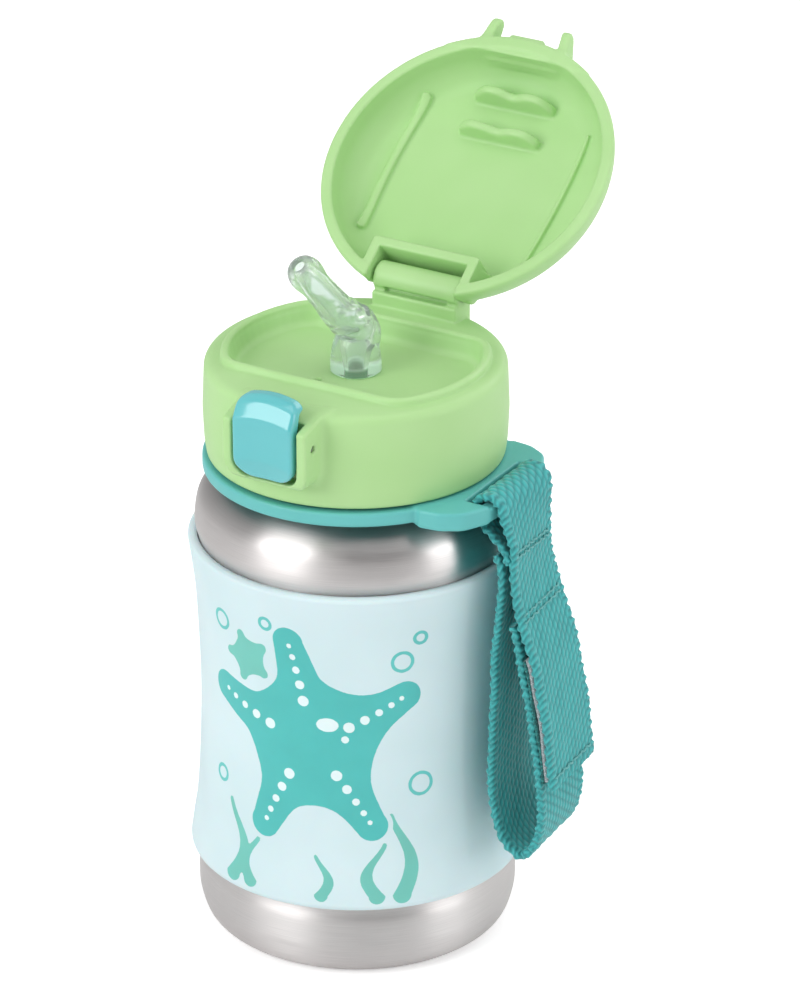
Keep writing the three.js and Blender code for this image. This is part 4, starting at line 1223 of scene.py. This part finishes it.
def webbing(name, line, thickness, half, seams=(), relief=0.3, scallop=0.36):
    """A strip of webbing along an (x, z) line, with woven faces and chained edges."""
    line = smooth_line(line, LINE_STEP)
    normal = normals_of(line)
    s = LINE_STEP * np.arange(len(line))[:, None]
    flat_half = half - SELVAGE
    faces_across = round(2 * flat_half / 0.25)
    across = np.linspace(-flat_half, flat_half, faces_across)
    turn = np.radians(np.linspace(-90, 90, 7)[1:-1])
    edge = flat_half + SELVAGE * np.cos(turn)
    y = np.concatenate([across, edge, across[::-1], -edge])
    face = np.concatenate([-np.ones(faces_across), np.sin(turn), np.ones(faces_across), -np.sin(turn)])
    near_edge = np.clip((np.abs(y) - flat_half + 1.5) / 0.5, 0, 1)
    sway = scallop * np.sin(TAU * s / 2.7 + 0.9 * np.sign(y)) * np.sign(y) * near_edge
    yarn = weave(y, s + np.where(face > 0, 0, RUN / 2)) * (1 - near_edge) + braid(y, s, face) * near_edge
    pinch = sum((np.exp(-(((line[:, 1:] - seam) / 0.7) ** 2)) for seam in seams), 0 * s)
    slack = 1 - 0.35 * pinch * (1 - near_edge)
    body = thickness / 2 - relief * 0.6
    out = face * (body * slack + 0.1 * near_edge) + face * relief * yarn
    out = out + 0.1 * np.sin(0.41 * s + 1.3) + 0.06 * np.sin(0.9 * y + 0.3 * s)
    shift = normal[:, None] * out[:, :, None]
    reach = y * (1 + 0 * s) + sway + np.sign(y) * (1 - np.abs(face)) * 0.25 * yarn
    points = np.stack([line[:, :1] + shift[:, :, 0], reach, line[:, 1:] + shift[:, :, 1]], 2)
    count = len(y)
    sides = grid_faces(len(s), count, closed_rows=False)
    far = 2 * faces_across + len(turn) - 1
    cap = [[k, k + 1, far - k - 1, far - k] for k in range(faces_across - 1)]
    for first in (faces_across - 1, far):
        last = first + len(turn) + 1
        for k in range(len(turn) // 2 + 1):
            cap.append([n % count for n in (first + k, first + k + 1, last - k - 1, last - k)])
    cap = np.array([quad for quad in cap if len(set(quad)) == 4])
    faces = np.vstack([sides, cap[:, ::-1], cap + (len(s) - 1) * count])
    made = piece(name, hung(points.reshape(-1, 3)), faces)
    # the yarn's height, which the material also reads for painted shade between yarns
    keep_value(made, "yarn", yarn.ravel())
    return made, line


def stitches(name, line, at_z, body, rows):
    """Sewn lines across the webbing: short twisted threads that dip into it at each end."""
    line = smooth_line(line, LINE_STEP)
    normal = normals_of(line)
    parts = []
    for row in rows:
        k = np.argmin(np.abs(line[:, 1] - at_z - row))
        for start in np.arange(-9.6, 8.5, 2.35):
            t = np.linspace(0, 1, 10)
            lift = 0.62 + 0.42 * np.sin(math.pi * t) ** 0.7
            wobble = 0.16 * np.sin(2.1 * start + 5 * t + row)
            path = np.stack([line[k, 0] + 0 * t, start + 2.0 * t, line[k, 1] + wobble], 1)
            path = path + np.outer(lift, (normal[k, 0], 0, normal[k, 1]))
            parts.append(tube(hung(path), 0.2, 8))
    made = joined(name, parts)
    return dress(made, THREAD, "webbing", body)


def strap():
    arc = [
        (BAR_X + BAR_LOOP_R * math.cos(a), BAR_Z + BAR_LOOP_R * math.sin(a))
        for a in np.radians((150, 120, 90, 60, 30))
    ]
    outer_line = INNER_STRAND + arc + OUTER_STRAND + FLAP_LINE
    outer, line = webbing("strap_outer", outer_line, WEB_THICK, WEB_HALF, seams=(SEAM_TOP, 86.6, 51.2))
    dress(outer, WEB, "webbing", None, "bar_loop_webbing", "flap_webbing")
    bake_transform(outer)
    handle, line = webbing("strap_handle", HANDLE_LINE, WEB_THICK, WEB_HALF)
    dress(handle, WEB, "webbing", "strap", "handle_loop_webbing")
    tapes = [
        ("strap_loop_tape", LOOP_TAPE_LINE, 0.6, LOOP, "loop_tape", "strap"),
        ("strap_hook_tape", HOOK_TAPE_LINE, 0.9, HOOK, "hook_tape", "strap_flap"),
    ]
    for name, tape_line, thickness, material, node, body in tapes:
        tape_line = np.array(tape_line)
        tape_line = tape_line - normals_of(tape_line) * (0.8 + thickness / 2)
        tape, _ = webbing(name, tape_line, thickness, 10.6, relief=0.08, scallop=0.0)
        dress(tape, material, node, body, node)
    stitches("seam_top", OUTER_STRAND, SEAM_TOP, "strap", (-0.6, 0.6))
    stitches("seam_low", OUTER_STRAND, 88.4, "strap", (-0.9, 0.5))
    stitches("seam_end", FLAP_LINE, 51.4, "strap_flap", (0,))


strap()


# ---- light, floor and world ----
LIT_POINT = (0, 0, 0.085)  # metres: where every light is aimed
FLOOR_HALF = 3.0  # metres
FLOOR_GLOW = 0.42  # keeps the floor white to the camera and through the silicone
SKY = 0.56  # the world's strength for soft light, and below for the rays that see it
SKY_SEEN = {"Is Glossy Ray": 1.3, "Is Camera Ray": 1.0, "Is Transmission Ray": 1.0}
# The studio's cards as reflections see them: (share of a turn from -X, brightness).
CARD_ENDS = 0.5
CARDS = [(0.0, 0.35), (0.08, 0.4), (0.16, 0.8), (0.225, 1.0), (0.28, 0.35), (0.34, 0.1)]
CARDS += [(0.4, 0.12), (0.455, 0.22), (0.5, 0.6), (0.57, 1.0), (0.64, 0.5), (0.8, 0.3)]


def area_light(name, place, size, power):
    data = bpy.data.lights.new(name, "AREA")
    data.shape = "RECTANGLE"
    data.size, data.size_y = size
    data.energy = power
    light = linked(name, data)
    light.location = place
    light.rotation_euler = (Vector(LIT_POINT) - Vector(place)).to_track_quat("-Z", "Y").to_euler()


def studio():
    mesh = bpy.data.meshes.new("floor")
    corners = [(FLOOR_HALF * x, FLOOR_HALF * y, 0) for x, y in ((-1, -1), (1, -1), (1, 1), (-1, 1))]
    mesh.from_pydata(corners, [], [(0, 1, 2, 3)])
    linked("floor", mesh)
    paint = Look("floor_paint", Base_Color=(0.9, 0.9, 0.9, 1), Specular_IOR_Level=0.1)
    paint.set(Roughness=paint.ranged(paint.noise(40), 0.3, 0.7, 0.85, 0.95))
    rays = paint.add("LightPath").outputs
    seen = paint.math("MAXIMUM", rays["Is Camera Ray"], rays["Is Transmission Ray"])
    paint.set(Emission_Color=(1, 1, 1, 1), Emission_Strength=paint.math("MULTIPLY", seen, FLOOR_GLOW))
    mesh.materials.append(paint.material)

    area_light("left", (-0.5, -1.1, 0.75), (0.8, 0.8), 8.8)
    area_light("right", (1.2, 0.1, 0.45), (0.6, 0.7), 3.4)
    area_light("top", (0.25, -0.1, 1.3), (0.8, 0.8), 2.7)
    area_light("back", (0.3, 1.1, 0.7), (0.9, 0.6), 3.5)

    world = bpy.data.worlds.new("studio")
    bpy.context.scene.world = world
    world.use_nodes = True
    sky = Nodes(world.node_tree)
    rays = sky.add("LightPath").outputs
    way = sky.add("SeparateXYZ", {0: sky.add("TexCoord").outputs["Generated"]}).outputs
    azimuth = sky.math("ARCTAN2", way["Y"], way["X"])
    cards = sky.add("ValToRGB", {"Fac": sky.ranged(azimuth, -math.pi, math.pi)})
    ramp = cards.color_ramp
    ramp.interpolation = "EASE"
    ramp.elements[0].position, ramp.elements[1].position = CARDS[0][0], 1.0
    ramp.elements[0].color = ramp.elements[1].color = (CARD_ENDS, CARD_ENDS, CARD_ENDS, 1)
    for at, shade in CARDS[1:]:
        ramp.elements.new(at).color = (shade, shade, shade, 1)
    strength = SKY
    for ray, level in SKY_SEEN.items():
        strength = sky.math("MAXIMUM", sky.math("MULTIPLY", rays[ray], level), strength)
    background = world.node_tree.nodes["Background"]
    seen = sky.mixed(rays["Is Glossy Ray"], (1, 1, 1, 1), cards.outputs["Color"])
    sky.feed(background.inputs["Color"], seen)
    sky.feed(background.inputs["Strength"], strength)
    world.cycles.sampling_method = "NONE"  # or the cards would be missing from reflections
    bpy.context.scene.view_settings.view_transform = "Standard"


studio()
